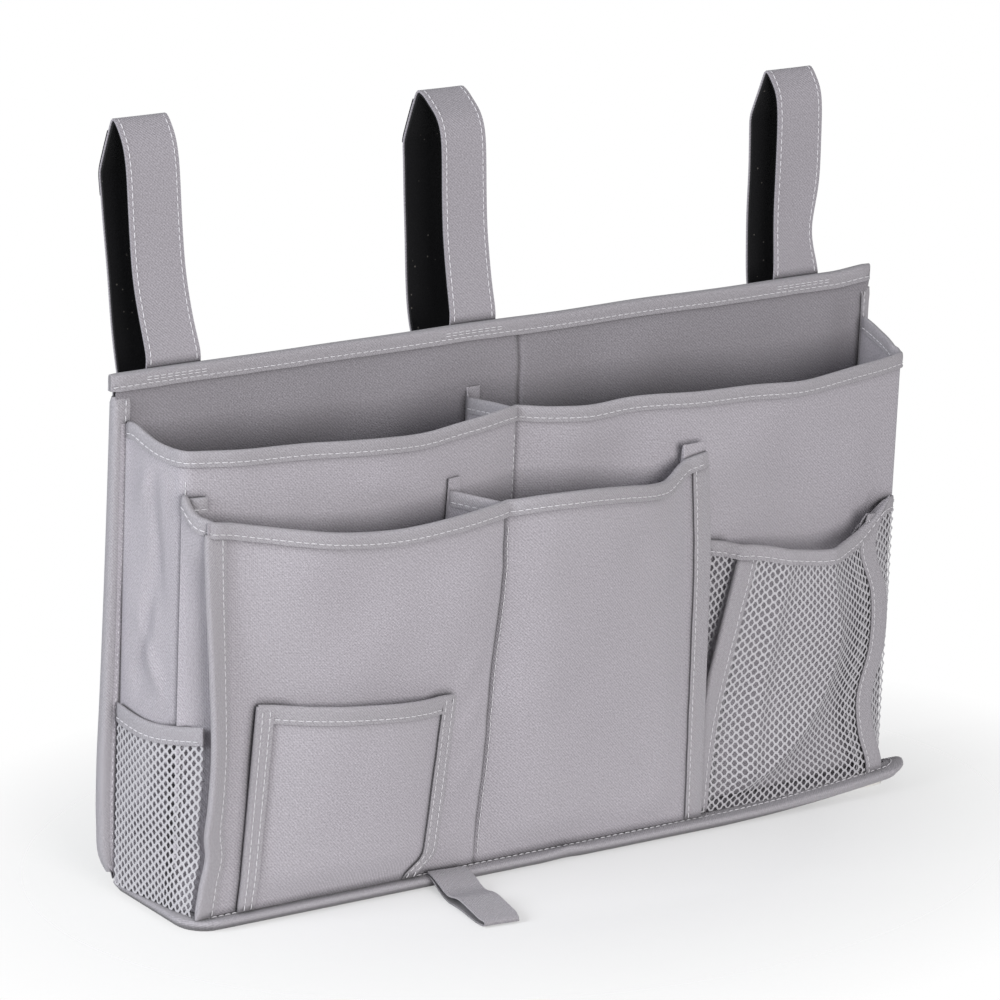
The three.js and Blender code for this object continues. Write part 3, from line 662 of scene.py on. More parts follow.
def base_ring(inset):
    """The base's outline drawn in by an inset: the same number of points for every inset."""
    x = BASE_HALF_WIDTH - inset
    y = BASE_HALF_DEPTH - inset
    front = max(BASE_FRONT_CORNER - inset, 0.6)
    back = max(BASE_BACK_CORNER - inset, 0.6)
    corners = (
        (-x + back, y - back, back, 90),
        (-x + front, -y + front, front, 180),
        (x - front, -y + front, front, 270),
        (x - back, y - back, back, 0),
    )
    points = []
    for i, (cx, cy, radius, first) in enumerate(corners):
        for step in range(9):
            angle = math.radians(first + 90 * step / 8)
            points.append((cx + radius * math.cos(angle), cy + radius * math.sin(angle)))
        nx, ny, next_radius, next_first = corners[(i + 1) % 4]
        turn = math.radians(next_first)
        target = np.array((nx + next_radius * math.cos(turn), ny + next_radius * math.sin(turn)))
        start = np.array(points[-1])
        pieces = 20 if i in (0, 2) else 120
        for step in range(1, pieces):
            points.append(tuple(lerp(start, target, step / pieces)))
    return np.array(points)


corner_lift = profile((110, 0.0), (150, 1.5), (181, 3.7), (217, 7.2), (243, 10.0))


def lip_lift(x, y):
    """The lip's front right corner turns up, and its front edge wavers a little."""
    notch = 1.6 * hump(x, 0, 9) * smooth((-y - 34) / 6)
    return corner_lift(x) * smooth(-y / 30) + notch


def corner_depth(x, inset, corner):
    """How far the base reaches to the front or back at a place along it, with its corners rounded."""
    radius = max(corner - inset, 0.6)
    past = max(abs(x) - (BASE_HALF_WIDTH - inset - radius), 0.0)
    return BASE_HALF_DEPTH - inset - radius + math.sqrt(max(radius ** 2 - past ** 2, 0.0))


def base_sheet(z, inset):
    """A flat cloth on the base that follows its outline and its turned up corner."""
    def surface(u, v):
        x = lerp(inset - BASE_HALF_WIDTH, BASE_HALF_WIDTH - inset, u)
        front = -corner_depth(x, inset, BASE_FRONT_CORNER)
        y = lerp(front, corner_depth(x, inset, BASE_BACK_CORNER), v)
        return np.array((x, y, z + lip_lift(x, y)))

    return surface


def build_base():
    middle_z = BASE_TOP / 2
    half = middle_z - TAPE
    rings = {}

    def place(i, inward, towards):
        inset = round(WRAP + inward + LIP_UNDERCUT * smooth((half - towards) / (2 * half)), 3)
        if inset not in rings:
            rings[inset] = base_ring(inset)
        x, y = rings[inset][i]
        above = towards > 0
        wave = 0.35 * ripple(x, y, 3.3, 46) if above else 0.0
        return np.array((x, y, max(middle_z + towards + wave + lip_lift(x, y), 0.05)))

    stations = len(base_ring(0))
    folded_tape("base_binding_tape", stations, place, ["base_binding"], half, half, loop=True, seed=4.0)
    ring = base_ring(WRAP + 6.5)
    row = np.array([(x, y, BASE_TOP + lip_lift(x, y)) for x, y in ring])
    stitches("base_binding_stitches", [(row, np.tile(UP, (len(row), 1)))])
    us = np.concatenate((spaced(0, 0.05, 0.005), spaced(0.06, 0.94, 0.02), spaced(0.95, 1, 0.005)))
    vs = spaced(0, 1, 0.06)
    lining_z = sum(box[2] for box in node_box("base_lining")) / 2
    lining = base_sheet(lining_z, WRAP + 2.0)
    cloth_sheet("base_lining_cloth", us, vs, lining, ["base_lining"], shaded_lining_material, held="laid")
    cover = base_sheet(node_box("base_cover")[0][2] + CLOTH / 2, WRAP + HEM)
    cloth_sheet("base_cover_cloth", us, vs, cover, ["base_cover"], held="laid")


# Back panel

FOOT_INSET = 6.0
FOOT_TOP = 17.0
FOOT_FADE = 8.0
TURN_FROM = 242.5
RIGHT_TURN = math.radians(22)


def back_half_width(z):
    """Half the back panel's width at a height; its foot is drawn in."""
    return BACK_EDGE - FOOT_INSET * smooth((FOOT_TOP - z) / FOOT_FADE)


def end_turned(x, y, z):
    """A place on the back panel, whose right end is turned back below the top binding."""
    past = max(x - TURN_FROM, 0.0)
    angle = RIGHT_TURN * smooth((BACK_TOP - 4 - z) / 14)
    return np.array((x - past * (1 - math.cos(angle)), y + past * math.sin(angle), z))


STRAP_PATCHES = [node_box(f"{name}_strap_patch") for name in ("left", "middle", "right")]
PATCH_CLEAR = 24.0


def near_patch(x, z):
    """How close a place on the back panel is to a strap's fastening patch, from 0 to 1."""
    away = [max(low[0] - x, x - high[0], low[2] - z, z - high[2]) for low, high in STRAP_PATCHES]
    return smooth((PATCH_CLEAR - min(away)) / (PATCH_CLEAR - 6))


def back_wall(y, side):
    def surface(u, v):
        z = lerp(WALL_Z, BACK_TOP, v)
        half = back_half_width(z)
        x = lerp(-half, half, u)
        groove = 1.6 * hump(x, BACK_SEAM_X, 1.3)
        swell = 2.2 + 4.4 * ripple(x, z * 1.4, 7.0, 58)
        swell = (swell + math.hypot(swell, 1.6)) / 2
        if side < 0:
            swell *= 1 - near_patch(x, z)
        swell *= smooth((BACK_TOP - 4 - z) / 24) * smooth((BACK_EDGE - 12 - abs(x)) / 20)
        return end_turned(x, y + side * (groove - swell), z)

    return surface


BACK_TAPE_FOOT = 12.0
STRAP_SEAM_REACH = 22.0
STRAP_SEAM_DROPS = (2.0, 3.4)
back_left_edge = profile(
    (BACK_TAPE_FOOT, -246.5), (20, -250.0), (39, -252.0), (71, -252.6), (110, -251.6), (177, -250.2),
    (235, -249.4), (BACK_TOP, -BACK_EDGE),
)
back_right_edge = profile(
    (BACK_TAPE_FOOT, 247.0), (24, BACK_EDGE), (80, BACK_EDGE + 1), (150, BACK_EDGE + 2),
    (BACK_TOP, BACK_EDGE + 2),
)


def build_back():
    columns = merged(spaced(0, 1, 0.008), spaced(0.5, 0.524, 0.002))
    rows = spaced(0, 1, 0.016)
    outer = back_wall(BACK_Y, -1)
    cloth_sheet("back_outer_cloth", columns, rows, outer, ["back_outer"])
    lining = back_wall(LINING_Y, 1)
    cloth_sheet("back_lining_cloth", columns, rows, lining, ["back_lining"], shaded_lining_material)
    seam_u = (BACK_SEAM_X + BACK_EDGE) / (2 * BACK_EDGE)
    seam_stitches("back_seam_stitches", outer, seam_u - 0.008, 0.02, 0.93, 0.5, -FORWARD)
    rail = []
    for x in spaced(-BACK_EDGE - 3, BACK_EDGE + 0.5, 4):
        wobble = 0.5 * ripple(x, 0, 9.0, 60) + 2.0 * smooth((x - 222) / 28)
        rail.append((np.array((x, BACK_MIDDLE_Y, BACK_TOP + wobble)), -UP, FORWARD))
    tape_on_rail("back_top_tape", rail, ["back_top_binding"], BACK_HALF, BACK_HALF, 1.0, hem=EDGE_HEM)
    extra = []
    for x in STRAP_PLACES:
        places = [p for p in rail if abs(p[0][0] - x) < STRAP_SEAM_REACH]
        for drop in STRAP_SEAM_DROPS:
            extra.append(rail_row(places, EDGE_HEM - STITCH_INSET - drop, BACK_HALF + TAPE + 0.05))
    stitches("strap_foot_stitches", extra)
    for name, side, edge_at in (("left", -1, back_left_edge), ("right", 1, back_right_edge)):
        rail = []
        for z in spaced(BACK_TAPE_FOOT, BACK_TOP - HEM - GAP, 4):
            edge = end_turned(edge_at(z), BACK_MIDDLE_Y, z)
            way_in = unit(end_turned(edge_at(z) - side * EDGE_HEM, BACK_MIDDLE_Y, z) - edge)
            rail.append((edge, way_in, np.cross(way_in * side, UP)))
        nodes = [f"back_{name}_binding"]
        front = BACK_HALF + CLOTH + GAP
        tape_on_rail(f"back_{name}_tape", rail, nodes, front, BACK_HALF, 2.0 + side, hem=EDGE_HEM)


# Rear tier

rear_top = profile(
    (-GUSSET_X, 258.3), (-183, 256.5), (-122, 253.0), (-90, 251.5), (-62, 253.6), (-28, 256.0), (-6, 253.9),
    (18, 253.0), (40, 254.5), (84, 253.2), (118, 252.3), (159, 250.1), (191, 251.3), (GUSSET_X, 253.0),
)
rear_left_top = profile((-11, 258.3), (-1.5, 258.0), (8, 259.0), (18, 261.0), (29, 264.0), (36, 263.0))
rear_right_top = profile((-12, 253.0), (0, 255.2), (19, 258.4), (26, 259.6), (36, 261.5))


def rear_bay(x):
    left = x < REAR_SEAM_X
    start, end = (-GUSSET_X, REAR_SEAM_X) if left else (REAR_SEAM_X, GUSSET_X)
    return REAR_BULGES[0 if left else 1], clamp((x - start) / (end - start))


def rounding(x):
    """How far the rear panel turns back at its rounded ends."""
    radius = REAR_LEFT_ROUND if x < 0 else REAR_RIGHT_ROUND
    short = max(radius - GUSSET_X + abs(x), 0.0)
    return radius - math.sqrt(max(radius ** 2 - short ** 2, 0.0))


def rear_panel(x, v):
    bulge, share = rear_bay(x)
    z = lerp(WALL_Z, rear_top(x), v)
    out = bulge * crown(share) * v * v
    slack = 4.6 * ripple(x, z, 11.0, 66) + 0.9 * ripple(x, z, 12.0, 28)
    here = (x, z)
    folds = 1.8 * crease(here, (-150, 236), (-60, 214), 9) - 1.6 * crease(here, (110, 200), (205, 170), 14)
    pucker = 0.35 * ripple(x, z, 13.0, 12) * hump(x, REAR_SEAM_X, 11)
    edge = smooth(share / 0.12) * smooth((1 - share) / 0.12) * smooth(v / 0.1)
    groove = 1.2 * hump(x, REAR_SEAM_X, 1.3)
    return np.array((x, REAR_Y - out - (slack + folds) * edge - pucker + groove + rounding(x), z))


def rear_surface(u, v):
    return rear_panel(lerp(-GUSSET_X, GUSSET_X, u), v)


def on_rear_panel(x, z):
    """How far back something that lies against the rear tier's front panel may be."""
    v = (z - WALL_Z) / (rear_top(x) - WALL_Z)
    return rear_panel(x, clamp(v))[1] - CLOTH - 2 * GAP


REAR_TURN = 0.2
REAR_FLARES = (5.8, 7.4)


def rear_gusset(side):
    """The end wall of the rear tier: u runs from the back flange to the front corner."""
    top = rear_left_top if side < 0 else rear_right_top
    corner = REAR_Y + (REAR_LEFT_ROUND if side < 0 else REAR_RIGHT_ROUND)
    flare = REAR_FLARES[0 if side < 0 else 1]

    def surface(u, v):
        turned = clamp(u / REAR_TURN)
        share = max(u - REAR_TURN, 0.0) / (1 - REAR_TURN)
        y = lerp(FLANGE_Y - 0.3 * turned, corner, share)
        z = lerp(WALL_Z, top(y), v)
        if u < REAR_TURN:
            edge = back_half_width(z) - GAP
            return end_turned(side * lerp(edge, GUSSET_X + flare, smooth(turned)), y, z)
        slack = 1.8 * ripple(y, z, 15.0 + side, 55) + 1.1 * ripple(y, z * 0.5, 16.0, 15)
        here = (y, z)
        folds = 3.4 * crease(here, (22, 95), (6, 215), 4) - 2.6 * crease(here, (24, 170), (-6, 110), 4)
        folds += 3.0 * crease(here, (2, 150), (14, 262), 3.5) - 2.2 * crease(here, (26, 215), (8, 255), 4)
        belly = 1.0 * crown(share) * (0.3 + 0.7 * v) + flare * (1 - share)
        inner = smooth(share / 0.15) * smooth((1 - share) / 0.15)
        return np.array((side * (GUSSET_X + belly - (slack + folds) * inner), y, z))

    return surface


def rear_corner_places(side, radius):
    """Places along the rear panel that follow its rounded corner, from the panel to its end."""
    turns = np.radians(np.linspace(75, 0, 6))
    return side * (GUSSET_X - radius * (1 - np.cos(turns)))


def rear_places(step):
    """Places along the rear panel, close together at its corners and its seam."""
    corners = [rear_corner_places(-1, REAR_LEFT_ROUND), rear_corner_places(1, REAR_RIGHT_ROUND)]
    inside = [
        spaced(-GUSSET_X + REAR_LEFT_ROUND, REAR_SEAM_X, step),
        spaced(REAR_SEAM_X, GUSSET_X - REAR_RIGHT_ROUND, step),
    ]
    return merged(*corners, *inside)


REAR_TAB_TOP = 255.0
REAR_DIVIDER_TOPS = (248.5, 254.0)
TAB_FOLD = 8.5
TAB_SHARE = 0.2
TAB_STEP = 0.04


def rear_divider(u, v):
    """From a tab on the back lining out to the rear panel's seam; its tab stands up higher."""
    fold_x = REAR_SEAM_X - 1
    if u < TAB_SHARE:
        z = lerp(WALL_Z, REAR_TAB_TOP, v)
        x = lerp(fold_x + TAB_FOLD, fold_x, smooth(u / TAB_SHARE))
        return np.array((x, FLANGE_Y - 0.4 * u, z))
    share = (u - TAB_SHARE) / (1 - TAB_SHARE)
    top = lerp(REAR_TAB_TOP, lerp(*REAR_DIVIDER_TOPS, share), smooth(share / TAB_STEP))
    z = lerp(WALL_Z, top, v)
    front = REAR_Y + SLOT + TAPE + GAP
    sway = 1.6 * math.sin(math.pi * share) * ripple(share * 40, z, 19.0, 50)
    return np.array((lerp(fold_x, REAR_SEAM_X, share) + sway, lerp(FLANGE_Y - 0.08, front, share), z))


def build_rear():
    rows = spaced(0, 1, GRID / (REAR_TOP - WALL_Z))
    near_seam = spaced(REAR_SEAM_X - 8, REAR_SEAM_X + 8, 1.0)
    xs = merged(rear_places(GRID), near_seam)
    cloth_sheet("rear_panel_cloth", xs, rows, rear_panel, ["rear_pocket_panel"])
    walls = {-1: rear_gusset(-1), 1: rear_gusset(1)}
    for name, side in (("left", -1), ("right", 1)):
        us = merged(spaced(0, 0.3, 0.02), spaced(0.3, 1, 0.045))
        node = f"rear_{name}_gusset"
        cloth_sheet(node + "_cloth", us, rows, walls[side], [node], end_material)
    gusset_us = spaced(0.23, 0.97, 0.06)

    def mouth(v):
        left = [walls[-1](u, v) for u in gusset_us]
        middle = [rear_panel(x, v) for x in rear_places(4)]
        right = [walls[1](u, v) for u in gusset_us[::-1]]
        return np.array(left + middle + right)

    rail = []
    for edge, inward, face in line_rail(mouth, REAR_TOP - WALL_Z):
        rail.append((edge + UP * 0.5 * ripple(edge[0], edge[1], 17.0, 40), inward, face))
    tape_on_rail("rear_mouth_tape", rail, ["rear_mouth_binding"], seed=5.0)
    seam_u = (REAR_SEAM_X - 1.9 + GUSSET_X) / (2 * GUSSET_X)
    seam_stitches("rear_seam_stitches", rear_surface, seam_u, 0.03, 0.955)
    us = merged(spaced(0, 0.3, 0.025), spaced(0.3, 1, 0.06))
    cloth_sheet("rear_divider_cloth", us, rows, rear_divider, ["rear_divider"])
    edge_tape("rear_divider", spaced(0.24, 1, 0.06), rear_divider, REAR_TOP - WALL_Z, seed=6.0)


# Front tier

front_mouth_line = profile(
    (FRONT_LEFT, 225.5), (-220, 223.4), (-205, 220.6), (-187, 218.0), (-160, 214.5), (-130, 212.8),
    (-100, 214.6), (FRONT_SEAM_X, 217.0), (-38, 218.6), (-15, 218.5), (20, 215.0), (45, 211.5), (54, 211.0),
    (60, 212.0), (70, 215.5), (80, 218.5), (FRONT_RIGHT, 220.5),
)
front_left_top = profile((0, 235.0), (0.12, 235.5), (0.3, 231.0), (0.5, 227.5), (0.75, 226.0), (1, 225.5))
front_right_top = profile((0, 203.0), (0.25, 205.0), (0.5, 216.0), (0.66, 226.0), (0.8, 226.5), (1, 227.0))
flange_shift = profile(
    (WALL_Z, -1.5), (24, 0.5), (44, 3.2), (50, 2.0), (70, 2.8), (92, 3.6), (140, 2.2), (190, 0.4),
    (FRONT_TOP, 0.0),
)
flange_turn = profile((WALL_Z, 2.0), (40, 4.0), (60, 6.0), (100, 7.5), (150, 5.4), (190, 2.0), (212, 0.0))
right_shift = profile((WALL_Z, 3.0), (60, 2.0), (120, 1.0), (160, 0.0), (200, -3.0), (FRONT_TOP, -6.0))
FLANGE_CUT = 218.0
RIGHT_FLANGE_CUT = 215.0
FOLD_SHARE = 0.7
RIGHT_TAB_SHARE = 0.25
LEFT_TAB_TOP = 233.5
OVER_FLANGE = SLOT + TAPE + GAP


def turned_forward(x, z):
    """How far forward the left flange's cloth is at a place on it."""
    return flange_turn(z) * clamp(1 - (x - FRONT_LEFT) / SEAM_REACH)


def front_stand_out(x, v):
    """How far the front panel stands out from its flanges at a share of its height."""
    left = x < FRONT_SEAM_X
    start = FRONT_FROM if left else FRONT_TO
    reach = clamp((x - start) / (FRONT_SEAM_X - start))
    foot = FRONT_FOOT_BULGE * crown(reach) * smooth(v / 0.1)
    return foot + FRONT_LEAN * smooth(reach) * v + FRONT_BULGE * crown(reach) * fill(v)


def front_panel(x, v):
    z = lerp(WALL_Z, front_mouth_line(x), v)
    out = front_stand_out(x, v)
    inner = smooth((x - FRONT_FROM) / 20) * smooth((FRONT_TO - x) / 20) * smooth(v / 0.08)
    slack = 4.4 * ripple(x, z, 21.0, 68) + 0.9 * ripple(x, z, 22.0, 30)
    here = (x, z)
    folds = 2.0 * crease(here, (-84, 40), (-58, 92), 6) + 1.8 * crease(here, (-82, 70), (-60, 120), 5)
    folds += 1.6 * crease(here, (-86, 96), (-62, 150), 6) - 1.4 * crease(here, (10, 196), (58, 150), 12)
    folds -= 1.4 * crease(here, (-200, 200), (-120, 150), 14)
    seam = 1.3 * hump(x, FRONT_SEAM_X, 1.3) - 0.5 * ripple(x, z, 23.0, 11) * hump(x, FRONT_SEAM_X, 10)
    shift = flange_shift(z) * clamp(1 - (x - FRONT_LEFT) / 45) + right_shift(z) * smooth((x - 40) / 40)
    y = FRONT_Y - out - (slack + folds) * inner + seam - turned_forward(x, z)
    return np.array((x + shift, y, z))


def front_surface(u, v):
    return front_panel(lerp(FRONT_LEFT, FRONT_RIGHT, u), v)


def before_front_panel(x, z, clear):
    """A point that stands clear of the front panel by some distance."""
    v = (z - WALL_Z) / (front_mouth_line(x) - WALL_Z)
    return np.array((x, FRONT_Y - front_stand_out(x, clamp(v)) - clear, z))


def front_left_gusset(u, v):
    """From the rear tier's corner out to the flange behind the front panel's left edge."""
    share = clamp(u / FOLD_SHARE)
    turned = smooth((u - FOLD_SHARE) / (1 - FOLD_SHARE))
    z = lerp(WALL_Z, lerp(front_left_top(share), FLANGE_CUT, smooth(turned * 4)), v)
    rear = np.array((-GUSSET_X + GAP, REAR_Y - SLOT - GAP))
    fold = np.array((FRONT_LEFT + lerp(CORNER_REACH, 4.0, smooth((z - 185) / 28)), FRONT_FLANGE_Y))
    end = np.array((FRONT_LEFT + GAP, FRONT_FLANGE_Y))
    shift = flange_shift(z)
    if u < FOLD_SHARE:
        x, y = lerp(rear, fold, share)
        inner = smooth(share * 5) * smooth((1 - share) * 5)
        bow = (1.6 * ripple(share * 25, z, 25.0, 45) + 1.5 * crown(share)) * inner
        return np.array((x + shift * share - bow * 0.75, y - bow * 0.65, z))
    x, y = lerp(fold, end, turned)
    return np.array((x + shift, y - 0.02 * turned - turned_forward(x, z), z))


def front_right_gusset(u, v):
    z = lerp(WALL_Z, front_right_top(u), v)
    tab_x = FRONT_RIGHT - CORNER_REACH + right_shift(z)
    if u < RIGHT_TAB_SHARE:
        x = lerp(tab_x - HEM, tab_x, smooth(u / RIGHT_TAB_SHARE))
        return np.array((x, on_rear_panel(x, z) - 0.2 * u, z))
    if u < FOLD_SHARE:
        share = (u - RIGHT_TAB_SHARE) / (FOLD_SHARE - RIGHT_TAB_SHARE)
        bow = 1.2 * ripple(share * 25, z, 26.0, 45) * math.sin(math.pi * share)
        return np.array((tab_x + bow, lerp(on_rear_panel(tab_x, z) - 0.05, FRONT_FLANGE_Y, share), z))
    share = smooth((u - FOLD_SHARE) / (1 - FOLD_SHARE))
    x = lerp(tab_x, FRONT_RIGHT - GAP + right_shift(z), share)
    return np.array((x, FRONT_FLANGE_Y - 0.02 * share, z))


FRONT_TAB_TOP = 224.5
FRONT_DIVIDER_TOPS = (217.5, 215.5)


def front_divider(u, v):
    """From a tab on the rear panel out to the front panel's seam; its tab stands up higher."""
    fold_x = FRONT_SEAM_X - HEM - 7
    if u < TAB_SHARE:
        z = lerp(WALL_Z, FRONT_TAB_TOP, v)
        x = lerp(fold_x + TAB_FOLD, fold_x, smooth(u / TAB_SHARE))
        return np.array((x, on_rear_panel(x, z) - 0.2 * u, z))
    share = (u - TAB_SHARE) / (1 - TAB_SHARE)
    top = lerp(FRONT_TAB_TOP, lerp(*FRONT_DIVIDER_TOPS, share), smooth(share / TAB_STEP))
    z = lerp(WALL_Z, top, v)
    rear = on_rear_panel(fold_x, z) - 0.05
    front = before_front_panel(FRONT_SEAM_X, min(z, front_mouth_line(FRONT_SEAM_X)), -SLOT - WRAP)[1]
    sway = 1.2 * math.sin(math.pi * share) * ripple(share * 30, z, 27.0, 50)
    return np.array((lerp(fold_x, FRONT_SEAM_X, share) + sway, lerp(rear, front, share), z))


def upright_rail(edge_at, top, inward, turn_at=None):
    """The rail up a flange: edge_at(z) gives its edge, and turn_at(z) how far it is turned forward."""
    rail = []
    for z in spaced(WALL_Z, top, 4):
        turned = turn_at(z) / SEAM_REACH if turn_at else 0.0
        way_in = unit(np.array((inward, turned, 0.0)))
        face = unit(np.array((inward * turned, -1.0, 0.0)))
        rail.append((np.array(edge_at(z)), way_in, face))
    return rail


def flange_tapes(tier, flanges, first_seed):
    """The tapes up a tier's flanges, each with its name, edge, top, way in and turn."""
    for seed, (name, *shape) in enumerate(flanges, first_seed):
        flange = f"{tier}_{name}_flange"
        rail = upright_rail(*shape)
        tape_on_rail(flange + "_tape", rail, [flange + "_binding"], SLOT, DOUBLE_SLOT, seed, hem=HEM)


def left_flange(z):
    return FRONT_LEFT + flange_shift(z), FRONT_Y - flange_turn(z), z


def right_flange(z):
    return FRONT_RIGHT + right_shift(z), FRONT_Y, z


def build_front():
    stops = (FRONT_LEFT, FRONT_FROM, FRONT_SEAM_X, FRONT_TO, FRONT_RIGHT)
    near_seam = spaced(FRONT_SEAM_X - 7, FRONT_SEAM_X + 7, 1)
    xs = merged(*(spaced(a, b) for a, b in zip(stops, stops[1:])), near_seam)
    height = FRONT_TOP - WALL_Z
    rows = spaced(0, 1, GRID / height)
    cloth_sheet("front_panel_cloth", xs, rows, front_panel, ["front_pocket_panel"])
    strips = (
        ("front_left_gusset", front_left_gusset, (0, 0.66, 0.74, 1)),
        ("front_right_gusset", front_right_gusset, (0, 0.2, 0.3, 0.66, 0.74, 1)),
        ("front_divider", front_divider, (0, 0.16, 0.24, 0.36, 1)),
    )
    for name, surface, ends in strips:
        us = merged(*(np.linspace(a, b, 7) for a, b in zip(ends, ends[1:])))
        cloth_sheet(name + "_cloth", us, rows, surface, [name], end_material)
    tab = []
    for x in spaced(-GUSSET_X + 1, -GUSSET_X + 13, 2):
        tab.append((np.array((x, on_rear_panel(x, 230) - 1.4, LEFT_TAB_TOP)), -UP, FORWARD))
    tape_on_rail("front_left_tab_tape", tab, [], seed=7.5)

    def mouth(v):
        side = [front_left_gusset(u, v) for u in spaced(0.02, 0.6, 0.05)]
        front = [front_surface(u, v) for u in spaced(0.012, 1, 0.011)]
        return np.array(side + front)

    nodes = ["front_mouth_binding", "front_left_gusset_binding"]
    tape_on_rail("front_mouth_tape", line_rail(mouth, height), nodes, OVER_FLANGE, seed=8.0)
    edge_tape("front_divider", spaced(0.24, 1, 0.06), front_divider, height, seed=8.5)
    left = ("left", left_flange, FLANGE_CUT + 1.5, 1.0, flange_turn)
    right = ("right", right_flange, RIGHT_FLANGE_CUT, -1.0)
    flange_tapes("front", (left, right), 9)
    seam_u = (FRONT_SEAM_X + 1.7 - FRONT_LEFT) / (FRONT_RIGHT - FRONT_LEFT)
    seam_stitches("front_seam_stitches", front_surface, seam_u, 0.02, 0.945)
    seam_stitches("left_corner_stitches", rear_surface, 0.006, 0.02, 0.95)


# Patch pocket

def patch_edges(v):
    flare = PATCH_FLARE * (1 - v)
    curl = 9.0 * smooth((0.14 - v) / 0.14)
    return PATCH_LEFT - flare, PATCH_RIGHT - 0.5 * flare - curl


def patch_panel(u, v):
    left, right = patch_edges(v)
    x = lerp(left, right, u)
    z = lerp(WALL_Z, PATCH_TOP + PATCH_TILT * (0.5 - u), v)
    width = PATCH_RIGHT - PATCH_LEFT
    inner = clamp((u * width - PATCH_HEM) / (width - 2 * PATCH_HEM))
    slack = (0.9 * ripple(x, z, 31.0, 55) + 0.4 * ripple(x, z, 32.0, 22)) * crown(inner)
    clear = 2 * SLOT + TAPE + (PATCH_BULGE * fill(v) + slack) * crown(inner)
    return before_front_panel(x, z, clear)


def patch_side_rail(u, inward):
    width = PATCH_RIGHT - PATCH_LEFT
    rail = []
    for v in spaced(0.0, 1.0, 0.035):
        edge = patch_panel(u, v)
        across = unit(patch_panel(u + inward * PATCH_HEM / width, v) - edge)
        rail.append((edge, across, unit(np.cross(across * inward, UP))))
    return rail


def build_patch():
    hem_u = PATCH_HEM / (PATCH_RIGHT - PATCH_LEFT)
    us = merged(spaced(0, 1, 0.025), (hem_u, 1 - hem_u))
    cloth_sheet("patch_panel_cloth", us, spaced(0, 1, 0.027), patch_panel, ["patch_pocket_panel"])
    rail = top_rail(spaced(0.0, 1.0, 0.03), patch_panel, PATCH_TOP - WALL_Z)
    tape_on_rail("patch_mouth_tape", rail, ["patch_pocket_mouth_binding"], seed=11.0, hem=PATCH_HEM)
    for name, u, inward in (("left", 0.0, 1.0), ("right", 1.0, -1.0)):
        rail = patch_side_rail(u, inward)
        tape = f"patch_{name}_tape"
        nodes = [f"patch_pocket_{name}_tape"]
        tape_on_rail(tape, rail, nodes, SLOT + 0.25, SLOT, 12.0, both_sides=False, hem=PATCH_HEM)
        stitches(tape + "_outer_stitches", [rail_row(rail, STITCH_INSET, SLOT + TAPE + 0.35)])


# Net pockets

side_net_top = profile((0, 108.5), (0.5, 106.0), (1, 111.0))
SIDE_NET_BACK = np.array((-GUSSET_X - 8.5, 33.7))
SIDE_NET_FRONT = np.array((FRONT_LEFT - GAP, -28.3))


def side_net_wall(u, v):
    """The net on the left end: u from the back panel to the front tier's left flange."""
    x, y = lerp(SIDE_NET_BACK, SIDE_NET_FRONT, u)
    z = lerp(WALL_Z, side_net_top(u), v)
    bow = 2.0 * crown(u) * fill(v) + 4.0 * u * (1 - u)
    slack = 1.2 * ripple(y, z, 41.0, 26) * crown(u)
    return np.array((x - bow - slack + flange_shift(z) * u * u, y, z))


mesh_mouth = profile(
    (0, 162.5), (0.16, 160.8), (0.4, 157.0), (0.6, 155.5), (0.75, 157.5), (0.88, 162.0), (0.95, 168.0),
    (1, 177.0),
)
mesh_left_edge = profile(
    (WALL_Z, 92.0), (40, 93.5), (80, 98.5), (120, 106.5), (154, 114.0), (MESH_TOP, 118.0)
)
mesh_left_push = profile((WALL_Z, 5.0), (60, 4.5), (100, 2.0), (140, 0.5), (MESH_TOP, 0.0))
mesh_right_shift = profile(
    (WALL_Z, 5.0), (15, 5.5), (39, -2.0), (57, -5.0), (91, 2.0), (121, 1.0), (153, -9.0), (MESH_TOP, 0.0)
)
mesh_ridge = profile((10, 115), (40, 150), (80, 176), (150, 172))
mesh_small_ridge = profile((20, 125), (60, 128), (150, 140))
mesh_left_gusset_top = profile((0, 165.5), (0.5, 162.5), (1, 159.0))
mesh_right_gusset_top = profile((0, 169.0), (0.3, 168.5), (0.6, 164.0), (1, 158.0))


def mesh_left_flange(z):
    return mesh_left_edge(z), FRONT_Y + mesh_left_push(z), z


def mesh_right_flange(z):
    return MESH_RIGHT + mesh_right_shift(z), FRONT_Y, z


def mesh_wall(u, v):
    """The net pocket's front: u from the left flange to the right one, pulled into slanting folds."""
    z = lerp(WALL_Z, mesh_mouth(u), v)
    x = lerp(mesh_left_edge(z), MESH_RIGHT + mesh_right_shift(z), u)
    past = x - mesh_ridge(z)
    ridge = math.exp(-abs(past) / (60 if past < 0 else 14))
    out = 4.0 * fill(v) + 9.0 * ridge + 3.0 * hump(x, mesh_small_ridge(z), 6)
    out = (out + 1.6 * ripple(x, z, 43.0, 30)) * crown((u - 0.08) / 0.84)
    return np.array((x, FRONT_Y + mesh_left_push(z) * (1 - u) ** 2 - out * smooth(v / 0.15), z))


def mesh_left_gusset(u, v):
    """From the rear panel beside the front tier out to the left flange."""
    z = lerp(WALL_Z, mesh_left_gusset_top(u), v)
    rear_x = MESH_LEFT + 1.0
    rear_y = on_rear_panel(rear_x, z)
    bow = 2.2 * math.sin(math.pi * u) * (0.4 + ripple(u * 20, z, 44.0, 30))
    y = lerp(rear_y, FRONT_FLANGE_Y + mesh_left_push(z), u)
    return np.array((lerp(rear_x, mesh_left_edge(z) + MESH_CORNER_REACH, u) + bow, y, z))


